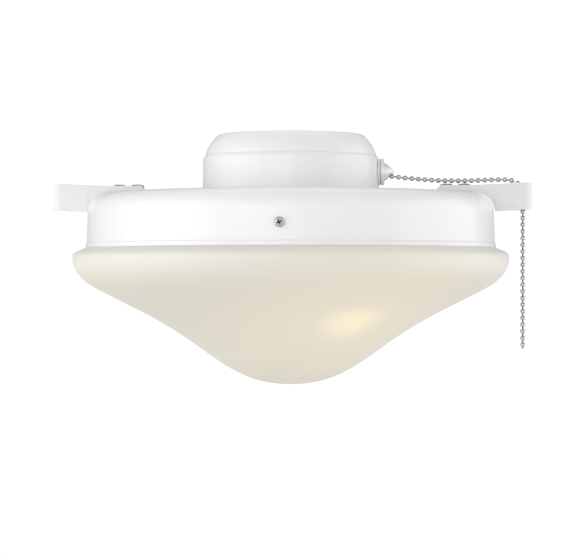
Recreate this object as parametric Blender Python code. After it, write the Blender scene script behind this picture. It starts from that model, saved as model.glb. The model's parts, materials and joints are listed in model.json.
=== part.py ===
# Ceiling fan light kit: a frosted glass bowl under a pressed steel pan, hung from a switch housing,
# with a beaded pull chain led out through an arm. Metres, +Z up, origin at the centre of the top face.
import math

import bmesh
import bpy
from mathutils import Matrix, Vector

# Fits and overruns shared by all pieces
GAP = 0.0003
CUT_OVERRUN = 0.0020
WELD_DISTANCE = 0.0000001

# Facets of the round pieces
SHELL_FACES = 48
BULB_FACES = 16
SMALL_FACES = 12
NUT_SIDES = 6
SHARP_ANGLE_DEG = 35.0

# Mounting collar, a pressed ring that seats against the fan
COLLAR_WALL = 0.0010
COLLAR_FLAT_WIDTH = 0.0168
COLLAR_EDGE_ROUND = 0.0040
COLLAR_EDGE_TURN_DEG = 40.0
COLLAR_CROWN_ROUND = 0.0240
COLLAR_CROWN_TURN_DEG = 76.0
COLLAR_SKIRT_LENGTH = 0.0018
KEYHOLE_COUNT = 3
KEYHOLE_EDGE = 0.00355
KEYHOLE_HEAD_RADIUS = 0.0042
KEYHOLE_SLOT_RADIUS = 0.0023
KEYHOLE_TURN_DEG = 8.0

# Switch housing, a drawn cup
HOUSING_WALL = 0.0010
HOUSING_LIP_STEP = 0.0003
HOUSING_RADIUS = 0.0565
HOUSING_DRAFT = 0.0003
HOUSING_SHOULDER_RUN = 0.0010
HOUSING_SHOULDER_DROP = 0.0018
HOUSING_SHOULDER_ROUND = 0.0030
HOUSING_CORNER_ROUND = 0.0015
HOUSING_DEPTH = 0.0379
WIRE_HOLE_RADIUS = 0.0055
WIRE_HOLE_REACH = 0.0220

# Pan, a spun dish that holds the glass
PAN_WALL = 0.0010
PAN_RADIUS = 0.1306
PAN_SHOULDER_ROUND = 0.0122
PAN_DRAFT = 0.0006
PAN_DEPTH = 0.0348
PAN_RIM_HEIGHT = 0.0022
PAN_RIM_FLARE = 0.0007
PAN_RIM_RISE = 0.0013

# Threaded nipple and the lock nuts that clamp the stack
NIPPLE_RADIUS = 0.0050
NIPPLE_BORE_RADIUS = 0.0035
NIPPLE_PROUD = 0.0015
LOCKNUT_RADIUS = 0.0085
LOCKNUT_HEIGHT = 0.0030
WASHER_RADIUS = 0.0090
WASHER_HEIGHT = 0.0010

# Crossbar under the collar's flange and its two screws
CROSSBAR_THICKNESS = 0.0015
CROSSBAR_WIDTH = 0.0140
CROSSBAR_END_INSET = 0.0045
CROSSBAR_SCREW_INSET = 0.0050
CROSSBAR_JOGGLE_INSET = 0.0100
CROSSBAR_JOGGLE_RUN = 0.0050
CROSSBAR_JOGGLE_DROP = 0.0057
CROSSBAR_SCREW_RADIUS = 0.0017
CROSSBAR_SCREW_HEAD_RADIUS = 0.0032
CROSSBAR_SCREW_HEAD_HEIGHT = 0.0022
CROSSBAR_SCREW_SINK = 0.0002

# Frosted glass bowl: neck, lip and the visible outline
GLASS_WALL = 0.0035
GLASS_LIP_CLEARANCE = 0.0039
GLASS_LIP_FLARE = 0.0033
GLASS_LIP_HEIGHT = 0.0022
GLASS_LIP_RISE = 0.0012
GLASS_LIP_GAP = 0.0007
GLASS_NECK_ROUND = 0.0030
GLASS_BULGE = 0.0099
GLASS_BULGE_DROP = 0.0061
GLASS_DEPTH = 0.0878
GLASS_UPPER_TURN_RADIUS_SHARE = 0.819
GLASS_UPPER_TURN_DROP_SHARE = 0.358
GLASS_LOWER_TURN_RADIUS_SHARE = 0.413
GLASS_LOWER_TURN_DROP_SHARE = 0.737
GLASS_UPPER_SLOPE_DEG = 27.5
GLASS_LOWER_SLOPE_DEG = 36.0
GLASS_HANDLE_SHARES = ((0.62, 0.28), (0.39, 0.34), (0.31, 0.48), (0.38, 0.40))
GLASS_SPAN_STEPS = (3, 5, 4, 4)

# Screws that hold the glass, and the bosses inside the pan that they thread through
GLASS_SCREW_COUNT = 3
GLASS_SCREW_FIRST_DEG = 271.2
GLASS_SCREW_DROP = 0.0212
GLASS_SCREW_RADIUS = 0.0020
GLASS_SCREW_HEAD_RADIUS = 0.0033
GLASS_SCREW_HEAD_HEIGHT = 0.0024
GLASS_SCREW_TIP_GAP = 0.0005
GLASS_SCREW_DOME_SHARES = ((0.0, 1.0), (0.5, 0.94), (0.86, 0.66), (1.0, 0.25))
BOSS_RADIUS = 0.0045
BOSS_HEIGHT = 0.0024

# Chain guide arms: a strap on edge with a foot on the pan and a closed eye at the tip
ARM_THICKNESS = 0.0015
ARM_EYE_STANDOFF = 0.0184
ARM_EYE_RADIUS = 0.0057
ARM_EYE_LENGTH = 0.0128
ARM_EYE_CORNER = 0.0032
ARM_EYE_SLIT = 0.0005
ARM_EYE_STEPS = 8
ARM_EYE_CORNER_STEPS = 3
ARM_TIP_TOP_RISE = 0.0070
ARM_TIP_BOTTOM_DROP = 0.0102
ARM_INNER_TOP_RISE = 0.0053
ARM_INNER_BOTTOM_DROP = 0.0117
ARM_NOTCH_GAP = 0.0010
ARM_NOTCH_STEPS = 6
ARM_END_SLOPE_LENGTH = 0.0030
FOOT_WIDTH = 0.0145
FOOT_LENGTH = 0.0240
FOOT_THICKNESS = 0.0015
FOOT_INSET = 0.0010
FOOT_CORNER = 0.0036
FOOT_SCREW_INSET = 0.0068
FOOT_SCREW_SPACING = 0.0115
FOOT_SCREW_SIDE = 0.0080
FOOT_SCREW_RADIUS = 0.0022
FOOT_SCREW_HEAD_RADIUS = 0.0050
FOOT_SCREW_HEAD_HEIGHT = 0.0044
FOOT_SCREW_FLANGE_HEIGHT = 0.0008
FOOT_SCREW_DOME_SHARES = ((0.0, 1.0), (0.55, 0.96), (0.84, 0.78), (0.93, 0.45))
FOOT_SCREW_END = 0.0012
FOOT_NUT_RADIUS = 0.0050
FOOT_NUT_HEIGHT = 0.0030

# Lamp holders, each tilted down from the axis
BULB_AZIMUTH_DEG = -56.0
BULB_GLASS_GAP = 0.00645
SOCKET_TIP_REACH = 0.0201
SOCKET_TIP_DROP = 0.0217
SOCKET_RADIUS = 0.0110
SOCKET_LENGTH = 0.0210
SOCKET_BACK = 0.0090
SOCKET_FLOOR = 0.0030
SOCKET_STUD_RADIUS = 0.0024
SOCKET_RIVET_RADIUS = 0.0040
SOCKET_RIVET_HEIGHT = 0.0013
SHELL_WALL = 0.0005
SHELL_INSET = 0.0005
CONTACT_RADIUS = 0.0032
CONTACT_BUTTON_RADIUS = 0.0016
CONTACT_BASE_HEIGHT = 0.0010
BRACKET_THICKNESS = 0.0015
BRACKET_WIDTH = 0.0220
BRACKET_EAR_TAIL = 0.0110

# Bulbs, a globe of 48 mm on a 12 mm screw cap
BULB_CAP_RADIUS = 0.0059
BULB_CAP_LENGTH = 0.0180
BULB_CAP_SHOULDER = 0.0015
BULB_CAP_TIP_RADIUS = 0.0030
BULB_NECK_RADIUS = 0.0060
BULB_NECK_LENGTH = 0.0220
BULB_GLOBE_RADIUS = 0.0240
BULB_LENGTH = 0.0800
BULB_WALL = 0.0008
BULB_SHOULDER_DEG = -40.0
BULB_HANDLE_SHARE = 0.38
BULB_SHOULDER_STEPS = 3
BULB_GLOBE_STEPS = 7

# Pull chain: beads on a wire
BEAD_RADIUS = 0.0016
BEAD_PITCH = 0.004265
BEAD_SPAN_SHARES = (0.0, 0.30, 0.70)
BEAD_RADIUS_SHARES = (0.28, 0.95, 0.95)
CHAIN_FACET_SETTING = 1
CHAIN_OPEN_START_SHARE = 0.20
CHAIN_OPEN_RADIUS_SHARE = 0.50
CHAIN_TAIL_SHARE = 0.15
CHAIN_ROUTE = (
    (0.0418, -0.0270), (0.0500, -0.0270), (0.0600, -0.0270), (0.0656, -0.0271),
    (0.0735, -0.0281), (0.0859, -0.0292), (0.0960, -0.0298), (0.1060, -0.0300),
    (0.1160, -0.0299), (0.1260, -0.0296), (0.1340, -0.0294), (0.1396, -0.0295),
    (0.1440, -0.0306), (0.1475, -0.0335), (0.1490, -0.0375), (0.1490, -0.0430),
    (0.1490, -0.0500), (0.1490, -0.0600), (0.1490, -0.0800), (0.1490, -0.1000),
    (0.1490, -0.1200), (0.1490, -0.1400),
)
ROUTE_STEPS = 12
# Each length of chain: its beads, its pitch and the gap before it as shares of the full pitch
CHAIN_PIECES = (
    ("chain_run", 24, 1.0, 0.0),
    ("chain_corner", 5, 0.889, 0.06),
    ("chain_drop", 21, 1.0, 0.0),
)

# Chain nozzle on the housing's side
CHAIN_EXIT_DROP = 0.0270
NOZZLE_RISE = 0.0028
NOZZLE_BORE_RADIUS = 0.0049
NOZZLE_TUBE_RADIUS = 0.0059
NOZZLE_FLANGE_RADIUS = 0.0086
NOZZLE_FLANGE_HEIGHT = 0.0019
NOZZLE_FLANGE_ROUND = 0.0006
NOZZLE_HOOD_RADIUS = 0.0061
NOZZLE_HOOD_LENGTH = 0.0067
NOZZLE_HOOD_WALL = 0.0010
NOZZLE_HOOD_SWELL_SHARE = 0.22
NOZZLE_HOOD_STEPS = 5
NOZZLE_TUBE_LENGTH = 0.0069
NOZZLE_WASHER_HEIGHT = 0.0008
NOZZLE_NUT_RADIUS = 0.0084
NOZZLE_NUT_HEIGHT = 0.0025
CHAIN_EXIT_RADIUS = 0.0021

# Pull switch inside the housing
PULLEY_PITCH_RADIUS = 0.0080
PULLEY_GROOVE_WIDTH = 0.0042
PULLEY_FLANGE_HEIGHT = 0.0010
PULLEY_FLANGE_PROUD = 0.0005
SHAFT_RADIUS = 0.0015
SWITCH_WALL = 0.0015
SWITCH_ROOM = 0.0004
SWITCH_SPRING_SIDE = 0.0028
SPRING_COIL_RADIUS = 0.0032
SPRING_WIRE_RADIUS = 0.00035
SPRING_TURNS = 2.5
SPRING_TURN_POINTS = 9
BLADE_THICKNESS = 0.0008
BLADE_WIDTH = 0.0040
BLADE_OUTSIDE = 0.0050
BLADE_INSIDE = 0.0004
BLADE_SIDE = 0.0060

# Wiring inside the object; the routes under the pan run along, across and above the lamp holders
LEAD_RADIUS = 0.0018
SWITCH_LEAD_RADIUS = 0.0012
LEAD_FACET_SETTING = 1
LEAD_SMOOTH_STEPS = 2
HOLDER_LEAD_ROUTE = (
    (0.0150, 0.0114, -0.0560), (0.0150, 0.0150, -0.0560), (0.0120, 0.0190, -0.0530),
    (0.0060, 0.0215, -0.0470), (0.0022, 0.0220, -0.0410), (0.0022, 0.0220, -0.0370),
)
HOUSING_LEAD_ROUTES = (
    (
        (0.0198, 0.0128, -0.0339), (0.0186, 0.0195, -0.0333), (0.0158, 0.0250, -0.0328),
        (0.0146, 0.0268, -0.0306), (0.0145, 0.0268, -0.0283),
    ),
    (
        (0.0152, 0.0170, -0.0339), (0.0080, 0.0220, -0.0333), (-0.0060, 0.0260, -0.0332),
        (-0.0132, 0.0268, -0.0318), (-0.0145, 0.0268, -0.0283),
    ),
)
SWITCH_LEAD_ROUTE = (
    (0.0214, -0.0014, -0.0252), (0.0192, 0.0035, -0.0265), (0.0205, 0.0140, -0.0282),
    (0.0220, 0.0230, -0.0294), (0.0200, 0.0300, -0.0313), (0.0166, 0.0320, -0.0315),
    (0.0146, 0.0313, -0.0302), (0.0145, 0.0312, -0.0283),
)
NUT_CAP_RADIUS = 0.0060
NUT_CAP_TOP_RADIUS = 0.0038
NUT_CAP_HEIGHT = 0.0170
NUT_CAP_X = 0.0145
NUT_CAP_Y = 0.0290


# Colour, roughness and metal of each finish
FINISHES = {
    "white_enamel": ((0.86, 0.86, 0.85), 0.35, 0.0),
    "nickel": ((0.62, 0.61, 0.58), 0.28, 1.0),
    "zinc_steel": ((0.55, 0.56, 0.57), 0.45, 1.0),
    "brass": ((0.78, 0.57, 0.28), 0.35, 1.0),
    "frosted_glass": ((0.90, 0.88, 0.80), 0.40, 0.0),
    "bulb_glass": ((0.97, 0.93, 0.82), 0.30, 0.0),
    "phenolic": ((0.07, 0.06, 0.05), 0.40, 0.0),
    "nylon": ((0.80, 0.79, 0.74), 0.45, 0.0),
    "lead_jacket": ((0.75, 0.75, 0.73), 0.50, 0.0),
    "lead_black": ((0.03, 0.03, 0.03), 0.50, 0.0),
}


def clear_scene():
    for obj in list(bpy.data.objects):
        bpy.data.objects.remove(obj, do_unlink=True)


def finish_material(name):
    material = bpy.data.materials.get(name)
    if material is None:
        color, roughness, metallic = FINISHES[name]
        material = bpy.data.materials.new(name)
        material.use_nodes = True
        shader = material.node_tree.nodes["Principled BSDF"]
        shader.inputs["Base Color"].default_value = (*color, 1.0)
        shader.inputs["Roughness"].default_value = roughness
        shader.inputs["Metallic"].default_value = metallic
        material.diffuse_color = (*color, 1.0)
    return material


def add_object(name, shape, finish, place=None):
    """A named object of this shape, shaded smooth between its sharp edges."""
    bmesh.ops.recalc_face_normals(shape, faces=shape.faces)
    mesh = bpy.data.meshes.new(name)
    shape.to_mesh(mesh)
    shape.free()
    mesh.shade_smooth()
    mesh.set_sharp_from_angle(angle=math.radians(SHARP_ANGLE_DEG))
    mesh.materials.append(finish_material(finish))
    obj = bpy.data.objects.new(name, mesh)
    bpy.context.scene.collection.objects.link(obj)
    if place is not None:
        obj.matrix_world = place
    return obj


def spun(outline, faces):
    """Spin a closed outline of (radius, height) points round the local Z axis."""
    shape = bmesh.new()
    corners = [shape.verts.new((radius, 0.0, height)) for radius, height in outline]
    for here, after in zip(corners, corners[1:] + corners[:1]):
        if max(here.co.x, after.co.x) > WELD_DISTANCE:
            shape.edges.new((here, after))
    bmesh.ops.spin(
        shape, geom=shape.verts[:] + shape.edges[:], cent=(0.0, 0.0, 0.0), axis=(0.0, 0.0, 1.0),
        angle=math.tau, steps=faces, use_merge=True,
    )
    bmesh.ops.remove_doubles(shape, verts=shape.verts, dist=WELD_DISTANCE)
    return shape


def prism(outline, low, high):
    """Extrude a closed outline of (x, y) points from one height to another."""
    shape = bmesh.new()
    base = shape.faces.new([shape.verts.new((x, y, low)) for x, y in outline])
    grown = bmesh.ops.extrude_face_region(shape, geom=[base])["geom"]
    top = [item for item in grown if isinstance(item, bmesh.types.BMVert)]
    bmesh.ops.translate(shape, verts=top, vec=(0.0, 0.0, high - low))
    return shape


def block(low, high):
    (x0, y0, z0), (x1, y1, z1) = low, high
    return prism([(x0, y0), (x1, y0), (x1, y1), (x0, y1)], z0, z1)


def rod(radius, low, high, faces=SMALL_FACES):
    return spun([(0.0, high), (radius, high), (radius, low), (0.0, low)], faces)


def sleeve(inner, outer, low, high, faces=SMALL_FACES):
    return spun([(inner, high), (outer, high), (outer, low), (inner, low)], faces)


def clear_radius(radius, faces=SMALL_FACES):
    """Radius of a faceted hole whose flats clear a rod of this radius by the shared gap."""
    return (radius + GAP) / math.cos(math.pi / faces)


def combine(obj, name, shape, operation, place=None):
    """Cut a helper shape out of an object, or join it on."""
    helper = add_object(f"{obj.name}_{name}", shape, "nylon", place)
    helper.hide_render = True
    helper.display_type = "WIRE"
    step = obj.modifiers.new(name, "BOOLEAN")
    step.operation = operation
    step.solver = "EXACT"
    step.object = helper


def cut(obj, name, shape, place=None):
    combine(obj, name, shape, "DIFFERENCE", place)


def join(obj, name, shape, place=None):
    combine(obj, name, shape, "UNION", place)


def turned(degrees):
    return Matrix.Rotation(math.radians(degrees), 4, "Z")


def at(x, y, z):
    return Matrix.Translation((x, y, z))


def radial(degrees, reach, height):
    """Frame at this reach and height whose local Z points away from the axis."""
    return turned(degrees) @ at(reach, 0.0, height) @ Matrix.Rotation(math.pi / 2, 4, "Y")


def arc(centre, radius, start_deg, end_deg, steps):
    """Points of (radius, height) along an arc, its angles measured from the outward direction."""
    points = []
    for step in range(steps + 1):
        angle = math.radians(start_deg + (end_deg - start_deg) * step / steps)
        points.append((centre[0] + radius * math.cos(angle), centre[1] + radius * math.sin(angle)))
    return points


def bezier(start, start_handle, end_handle, end, steps):
    points = []
    for step in range(steps + 1):
        t = step / steps
        weights = ((1 - t) ** 3, 3 * (1 - t) ** 2 * t, 3 * (1 - t) * t**2, t**3)
        corners = (start, start_handle, end_handle, end)
        points.append(tuple(sum(w * c[i] for w, c in zip(weights, corners)) for i in (0, 1)))
    return points


def offset(path, distance):
    """The path moved to its right by this distance, with mitred corners."""
    moved = []
    for index, point in enumerate(path):
        here = Vector(point)
        before = (here - Vector(path[index - 1])).normalized() if index else None
        after = (Vector(path[index + 1]) - here).normalized() if index + 1 < len(path) else None
        before = before or after
        after = after or before
        across = Vector((before.y, -before.x)) + Vector((after.y, -after.x))
        across.normalize()
        reach = distance / across.dot(Vector((after.y, -after.x)))
        moved.append(tuple(here + across * reach))
    return moved


def thickened(path, thickness):
    """Closed outline of a strap of this thickness that follows the path."""
    return offset(path, -thickness / 2) + offset(path, thickness / 2)[::-1]


# Heights and radii that several pieces share
EDGE_TURN = math.radians(COLLAR_EDGE_TURN_DEG)
CROWN_TURN = math.radians(COLLAR_CROWN_TURN_DEG)
HOUSING_BASE_RADIUS = HOUSING_RADIUS + HOUSING_DRAFT
HOUSING_LIP_RADIUS = HOUSING_RADIUS - HOUSING_SHOULDER_RUN
COLLAR_FOOT_RADIUS = HOUSING_LIP_RADIUS - HOUSING_LIP_STEP
COLLAR_FLAT_RADIUS = (
    COLLAR_FOOT_RADIUS - COLLAR_CROWN_ROUND * math.sin(CROWN_TURN)
    + (COLLAR_CROWN_ROUND - COLLAR_EDGE_ROUND) * math.sin(EDGE_TURN)
)
COLLAR_OPENING_RADIUS = COLLAR_FLAT_RADIUS - COLLAR_FLAT_WIDTH
KEYHOLE_CIRCLE_RADIUS = COLLAR_FLAT_RADIUS - KEYHOLE_EDGE - KEYHOLE_HEAD_RADIUS
COLLAR_EDGE_CENTRE = (COLLAR_FLAT_RADIUS, -COLLAR_EDGE_ROUND)
COLLAR_CROWN_CENTRE = (
    COLLAR_EDGE_CENTRE[0] - (COLLAR_CROWN_ROUND - COLLAR_EDGE_ROUND) * math.sin(EDGE_TURN),
    COLLAR_EDGE_CENTRE[1] - (COLLAR_CROWN_ROUND - COLLAR_EDGE_ROUND) * math.cos(EDGE_TURN),
)
COLLAR_FOOT_Z = COLLAR_CROWN_CENTRE[1] + COLLAR_CROWN_ROUND * math.cos(CROWN_TURN)
SKIRT_RADIUS = HOUSING_LIP_RADIUS - HOUSING_WALL - GAP
HOUSING_MOUTH_Z = COLLAR_FOOT_Z - GAP
HOUSING_BASE_Z = -HOUSING_DEPTH
HOUSING_FLOOR_Z = HOUSING_BASE_Z + HOUSING_WALL
PAN_TOP_Z = HOUSING_BASE_Z - GAP
PAN_CEILING_Z = PAN_TOP_Z - PAN_WALL
PAN_FLAT_RADIUS = PAN_RADIUS - PAN_SHOULDER_ROUND
PAN_RIM_Z = PAN_TOP_Z - PAN_DEPTH
PAN_INNER_RADIUS = PAN_RADIUS - PAN_WALL
CROSSBAR_REACH = COLLAR_FLAT_RADIUS - CROSSBAR_END_INSET
CROSSBAR_SCREW_REACH = CROSSBAR_REACH - CROSSBAR_SCREW_INSET
CROSSBAR_JOGGLE_OUTER = CROSSBAR_REACH - CROSSBAR_JOGGLE_INSET
CROSSBAR_JOGGLE_INNER = CROSSBAR_JOGGLE_OUTER - CROSSBAR_JOGGLE_RUN
CROSSBAR_TOP_Z = -COLLAR_WALL - GAP
CROSSBAR_SEAT_Z = CROSSBAR_TOP_Z - CROSSBAR_JOGGLE_DROP
BRACKET_TOP_Z = PAN_CEILING_Z - GAP
BRACKET_BOTTOM_Z = BRACKET_TOP_Z - BRACKET_THICKNESS
LOWER_WASHER_Z = BRACKET_BOTTOM_Z - GAP - WASHER_HEIGHT
LOWER_NUT_Z = LOWER_WASHER_Z - GAP - LOCKNUT_HEIGHT
TOP_NUT_Z = CROSSBAR_SEAT_Z + GAP
FLOOR_NUT_Z = HOUSING_FLOOR_Z + GAP
GLASS_SCREW_Z = PAN_TOP_Z - GLASS_SCREW_DROP
CHAIN_EXIT_Z = -CHAIN_EXIT_DROP
NOZZLE_Z = CHAIN_EXIT_Z + NOZZLE_RISE
EYE_X = PAN_RADIUS + ARM_EYE_STANDOFF
SOCKET_TIP_Z = PAN_TOP_Z - SOCKET_TIP_DROP
GLASS_NECK_RADIUS = PAN_INNER_RADIUS - GLASS_LIP_CLEARANCE - GLASS_LIP_FLARE
GLASS_TOP_Z = PAN_RIM_Z - GAP
GLASS_BULGE_RADIUS = PAN_RADIUS + GLASS_BULGE
GLASS_UPPER_TURN = (
    GLASS_BULGE_RADIUS * GLASS_UPPER_TURN_RADIUS_SHARE,
    GLASS_TOP_Z - GLASS_DEPTH * GLASS_UPPER_TURN_DROP_SHARE,
)


def bulb_tilt():
    """Angle below level at which the bulb's globe keeps its gap from the bowl's upper slope."""
    slope = math.radians(GLASS_UPPER_SLOPE_DEG)
    room = (GLASS_UPPER_TURN[0] - SOCKET_TIP_REACH) * math.sin(slope)
    room += (SOCKET_TIP_Z - GLASS_UPPER_TURN[1]) * math.cos(slope)
    room -= BULB_GLOBE_RADIUS + GLASS_WALL + BULB_GLASS_GAP
    return math.asin(min(1.0, room / (BULB_LENGTH - BULB_GLOBE_RADIUS))) - slope


BULB_TILT = bulb_tilt()
BULB_DIRECTION = (math.cos(BULB_TILT), -math.sin(BULB_TILT))
BULB_ACROSS = (-BULB_DIRECTION[1], BULB_DIRECTION[0])


def hole_through(obj, name, radius, x, y, low, high, faces=SMALL_FACES):
    cut(obj, name, rod(radius, low - CUT_OVERRUN, high + CUT_OVERRUN, faces), at(x, y, 0.0))


def wire_hole_place():
    angle = math.radians(BULB_AZIMUTH_DEG) + math.pi / 2
    return WIRE_HOLE_REACH * math.cos(angle), WIRE_HOLE_REACH * math.sin(angle)


def make_collar():
    inner_crown = COLLAR_CROWN_ROUND - COLLAR_WALL
    skirt_inner = SKIRT_RADIUS - COLLAR_WALL
    inner_stop_deg = math.degrees(math.acos((skirt_inner - COLLAR_CROWN_CENTRE[0]) / inner_crown))
    edge_deg = 90.0 - COLLAR_EDGE_TURN_DEG
    crown_deg = 90.0 - COLLAR_CROWN_TURN_DEG
    outline = [(COLLAR_OPENING_RADIUS, 0.0)]
    outline += arc(COLLAR_EDGE_CENTRE, COLLAR_EDGE_ROUND, 90.0, edge_deg, 2)
    outline += arc(COLLAR_CROWN_CENTRE, COLLAR_CROWN_ROUND, edge_deg, crown_deg, 3)[1:]
    outline += [(SKIRT_RADIUS, COLLAR_FOOT_Z), (SKIRT_RADIUS, COLLAR_FOOT_Z - COLLAR_SKIRT_LENGTH)]
    outline += [(skirt_inner, COLLAR_FOOT_Z - COLLAR_SKIRT_LENGTH)]
    outline += arc(COLLAR_CROWN_CENTRE, inner_crown, inner_stop_deg, edge_deg, 2)
    outline += [(COLLAR_FLAT_RADIUS, -COLLAR_WALL), (COLLAR_OPENING_RADIUS, -COLLAR_WALL)]
    collar = add_object("mounting_collar", spun(outline, SHELL_FACES), "white_enamel")
    # The holes are turned by half a facet, so that none of their corners meets a seam of the ring
    half_facet = turned(180.0 / SMALL_FACES)
    for index in range(KEYHOLE_COUNT):
        turn = index * 360.0 / KEYHOLE_COUNT
        for part, radius, angle in (
            ("head", KEYHOLE_HEAD_RADIUS, turn),
            ("slot", KEYHOLE_SLOT_RADIUS, turn + KEYHOLE_TURN_DEG),
        ):
            hole = rod(radius, -COLLAR_WALL - CUT_OVERRUN, CUT_OVERRUN)
            place = turned(angle) @ at(KEYHOLE_CIRCLE_RADIUS, 0.0, 0.0) @ half_facet
            cut(collar, f"keyhole_{part}_{index}", hole, place)
    for side in (1, -1):
        hole = rod(clear_radius(CROSSBAR_SCREW_RADIUS), -COLLAR_WALL - CUT_OVERRUN, CUT_OVERRUN)
        cut(collar, f"screw_{side}", hole, at(0.0, side * CROSSBAR_SCREW_REACH, 0.0) @ half_facet)


def make_housing():
    shoulder_z = HOUSING_MOUTH_Z - HOUSING_SHOULDER_DROP
    rise = math.atan2(HOUSING_SHOULDER_DROP, HOUSING_SHOULDER_RUN)
    tangent = HOUSING_SHOULDER_ROUND * math.tan((math.pi / 2 - rise) / 2)
    round_centre = (HOUSING_RADIUS - HOUSING_SHOULDER_ROUND, shoulder_z - tangent)
    corner = (HOUSING_BASE_RADIUS - HOUSING_CORNER_ROUND, HOUSING_BASE_Z + HOUSING_CORNER_ROUND)
    nipple_hole = clear_radius(NIPPLE_RADIUS, SHELL_FACES)
    outer = [(HOUSING_LIP_RADIUS, HOUSING_MOUTH_Z)]
    outer += arc(round_centre, HOUSING_SHOULDER_ROUND, 90.0 - math.degrees(rise), 0.0, 2)
    outer += arc(corner, HOUSING_CORNER_ROUND, 0.0, -90.0, 2)
    outer += [(nipple_hole, HOUSING_BASE_Z)]
    inner = offset(outer, HOUSING_WALL)
    inner[0] = (HOUSING_LIP_RADIUS - HOUSING_WALL, HOUSING_MOUTH_Z)
    housing = add_object("switch_housing", spun(outer + inner[::-1], SHELL_FACES), "white_enamel")
    x, y = wire_hole_place()
    hole_through(housing, "wire_hole", WIRE_HOLE_RADIUS, x, y, HOUSING_BASE_Z, HOUSING_FLOOR_Z)
    depth = HOUSING_WALL + CUT_OVERRUN
    nozzle_hole = rod(clear_radius(NOZZLE_TUBE_RADIUS), -depth, depth)
    cut(housing, "nozzle_hole", nozzle_hole, radial(0.0, HOUSING_RADIUS - HOUSING_WALL, NOZZLE_Z))


def make_pan():
    shoulder_centre = (PAN_FLAT_RADIUS, PAN_TOP_Z - PAN_SHOULDER_ROUND)
    side_foot = PAN_RADIUS + PAN_DRAFT
    rim_radius = side_foot + PAN_RIM_FLARE
    rim_top = PAN_RIM_Z + PAN_RIM_HEIGHT
    nipple_hole = clear_radius(NIPPLE_RADIUS, SHELL_FACES)
    outer = [(nipple_hole, PAN_TOP_Z)]
    outer += arc(shoulder_centre, PAN_SHOULDER_ROUND, 90.0, 0.0, 5)
    outer += [(side_foot, rim_top + PAN_RIM_RISE), (rim_radius, rim_top), (rim_radius, PAN_RIM_Z)]
    inner = offset(outer, PAN_WALL)
    inner[-1] = (rim_radius - PAN_WALL, PAN_RIM_Z)
    pan = add_object("pan", spun(outer + inner[::-1], SHELL_FACES), "white_enamel")
    x, y = wire_hole_place()
    hole_through(pan, "wire_hole", WIRE_HOLE_RADIUS, x, y, PAN_CEILING_Z, PAN_TOP_Z)
    for index, (x, y) in enumerate(foot_screw_places()):
        radius = clear_radius(FOOT_SCREW_RADIUS)
        hole_through(pan, f"foot_hole_{index}", radius, x, y, PAN_CEILING_Z, PAN_TOP_Z)
    for index, angle in enumerate(glass_screw_angles()):
        hole = rod(clear_radius(GLASS_SCREW_RADIUS), -PAN_WALL - CUT_OVERRUN, PAN_WALL + CUT_OVERRUN)
        cut(pan, f"glass_screw_hole_{index}", hole, radial(angle, PAN_RADIUS, GLASS_SCREW_Z))


def make_crossbar():
    middle = CROSSBAR_TOP_Z - CROSSBAR_THICKNESS / 2
    path = [
        (-CROSSBAR_REACH, middle),
        (-CROSSBAR_JOGGLE_OUTER, middle),
        (-CROSSBAR_JOGGLE_INNER, middle - CROSSBAR_JOGGLE_DROP),
        (CROSSBAR_JOGGLE_INNER, middle - CROSSBAR_JOGGLE_DROP),
        (CROSSBAR_JOGGLE_OUTER, middle),
        (CROSSBAR_REACH, middle),
    ]
    stand = Matrix(((0, 0, 1, 0), (1, 0, 0, 0), (0, 1, 0, 0), (0, 0, 0, 1)))
    strap = prism(thickened(path, CROSSBAR_THICKNESS), -CROSSBAR_WIDTH / 2, CROSSBAR_WIDTH / 2)
    bar = add_object("crossbar", strap, "zinc_steel", stand)
    low = CROSSBAR_SEAT_Z - CROSSBAR_THICKNESS
    hole_through(bar, "nipple_hole", clear_radius(NIPPLE_RADIUS), 0.0, 0.0, low, CROSSBAR_SEAT_Z)
    head_top = CROSSBAR_TOP_Z - CROSSBAR_THICKNESS - GAP
    head_low = head_top - CROSSBAR_SCREW_HEAD_HEIGHT
    for index, side in enumerate((1, -1)):
        y = side * CROSSBAR_SCREW_REACH
        radius = clear_radius(CROSSBAR_SCREW_RADIUS)
        hole_through(bar, f"screw_hole_{index}", radius, 0.0, y, head_top, CROSSBAR_TOP_Z)
        screw = [
            (0.0, -CROSSBAR_SCREW_SINK), (CROSSBAR_SCREW_RADIUS, -CROSSBAR_SCREW_SINK),
            (CROSSBAR_SCREW_RADIUS, head_top), (CROSSBAR_SCREW_HEAD_RADIUS, head_top),
            (CROSSBAR_SCREW_HEAD_RADIUS, head_low), (0.0, head_low),
        ]
        name = f"crossbar_screw_{index + 1}"
        add_object(name, spun(screw, SMALL_FACES), "zinc_steel", at(0.0, y, 0.0))


def hex_nut(name, bore, radius, low, high, place=None, finish="zinc_steel"):
    corners = [
        (radius * math.cos(math.tau * side / NUT_SIDES), radius * math.sin(math.tau * side / NUT_SIDES))
        for side in range(NUT_SIDES)
    ]
    nut = add_object(name, prism(corners, low, high), finish, place)
    hole = rod(clear_radius(bore), low - CUT_OVERRUN, high + CUT_OVERRUN)
    cut(nut, "bore", hole, place)


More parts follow.
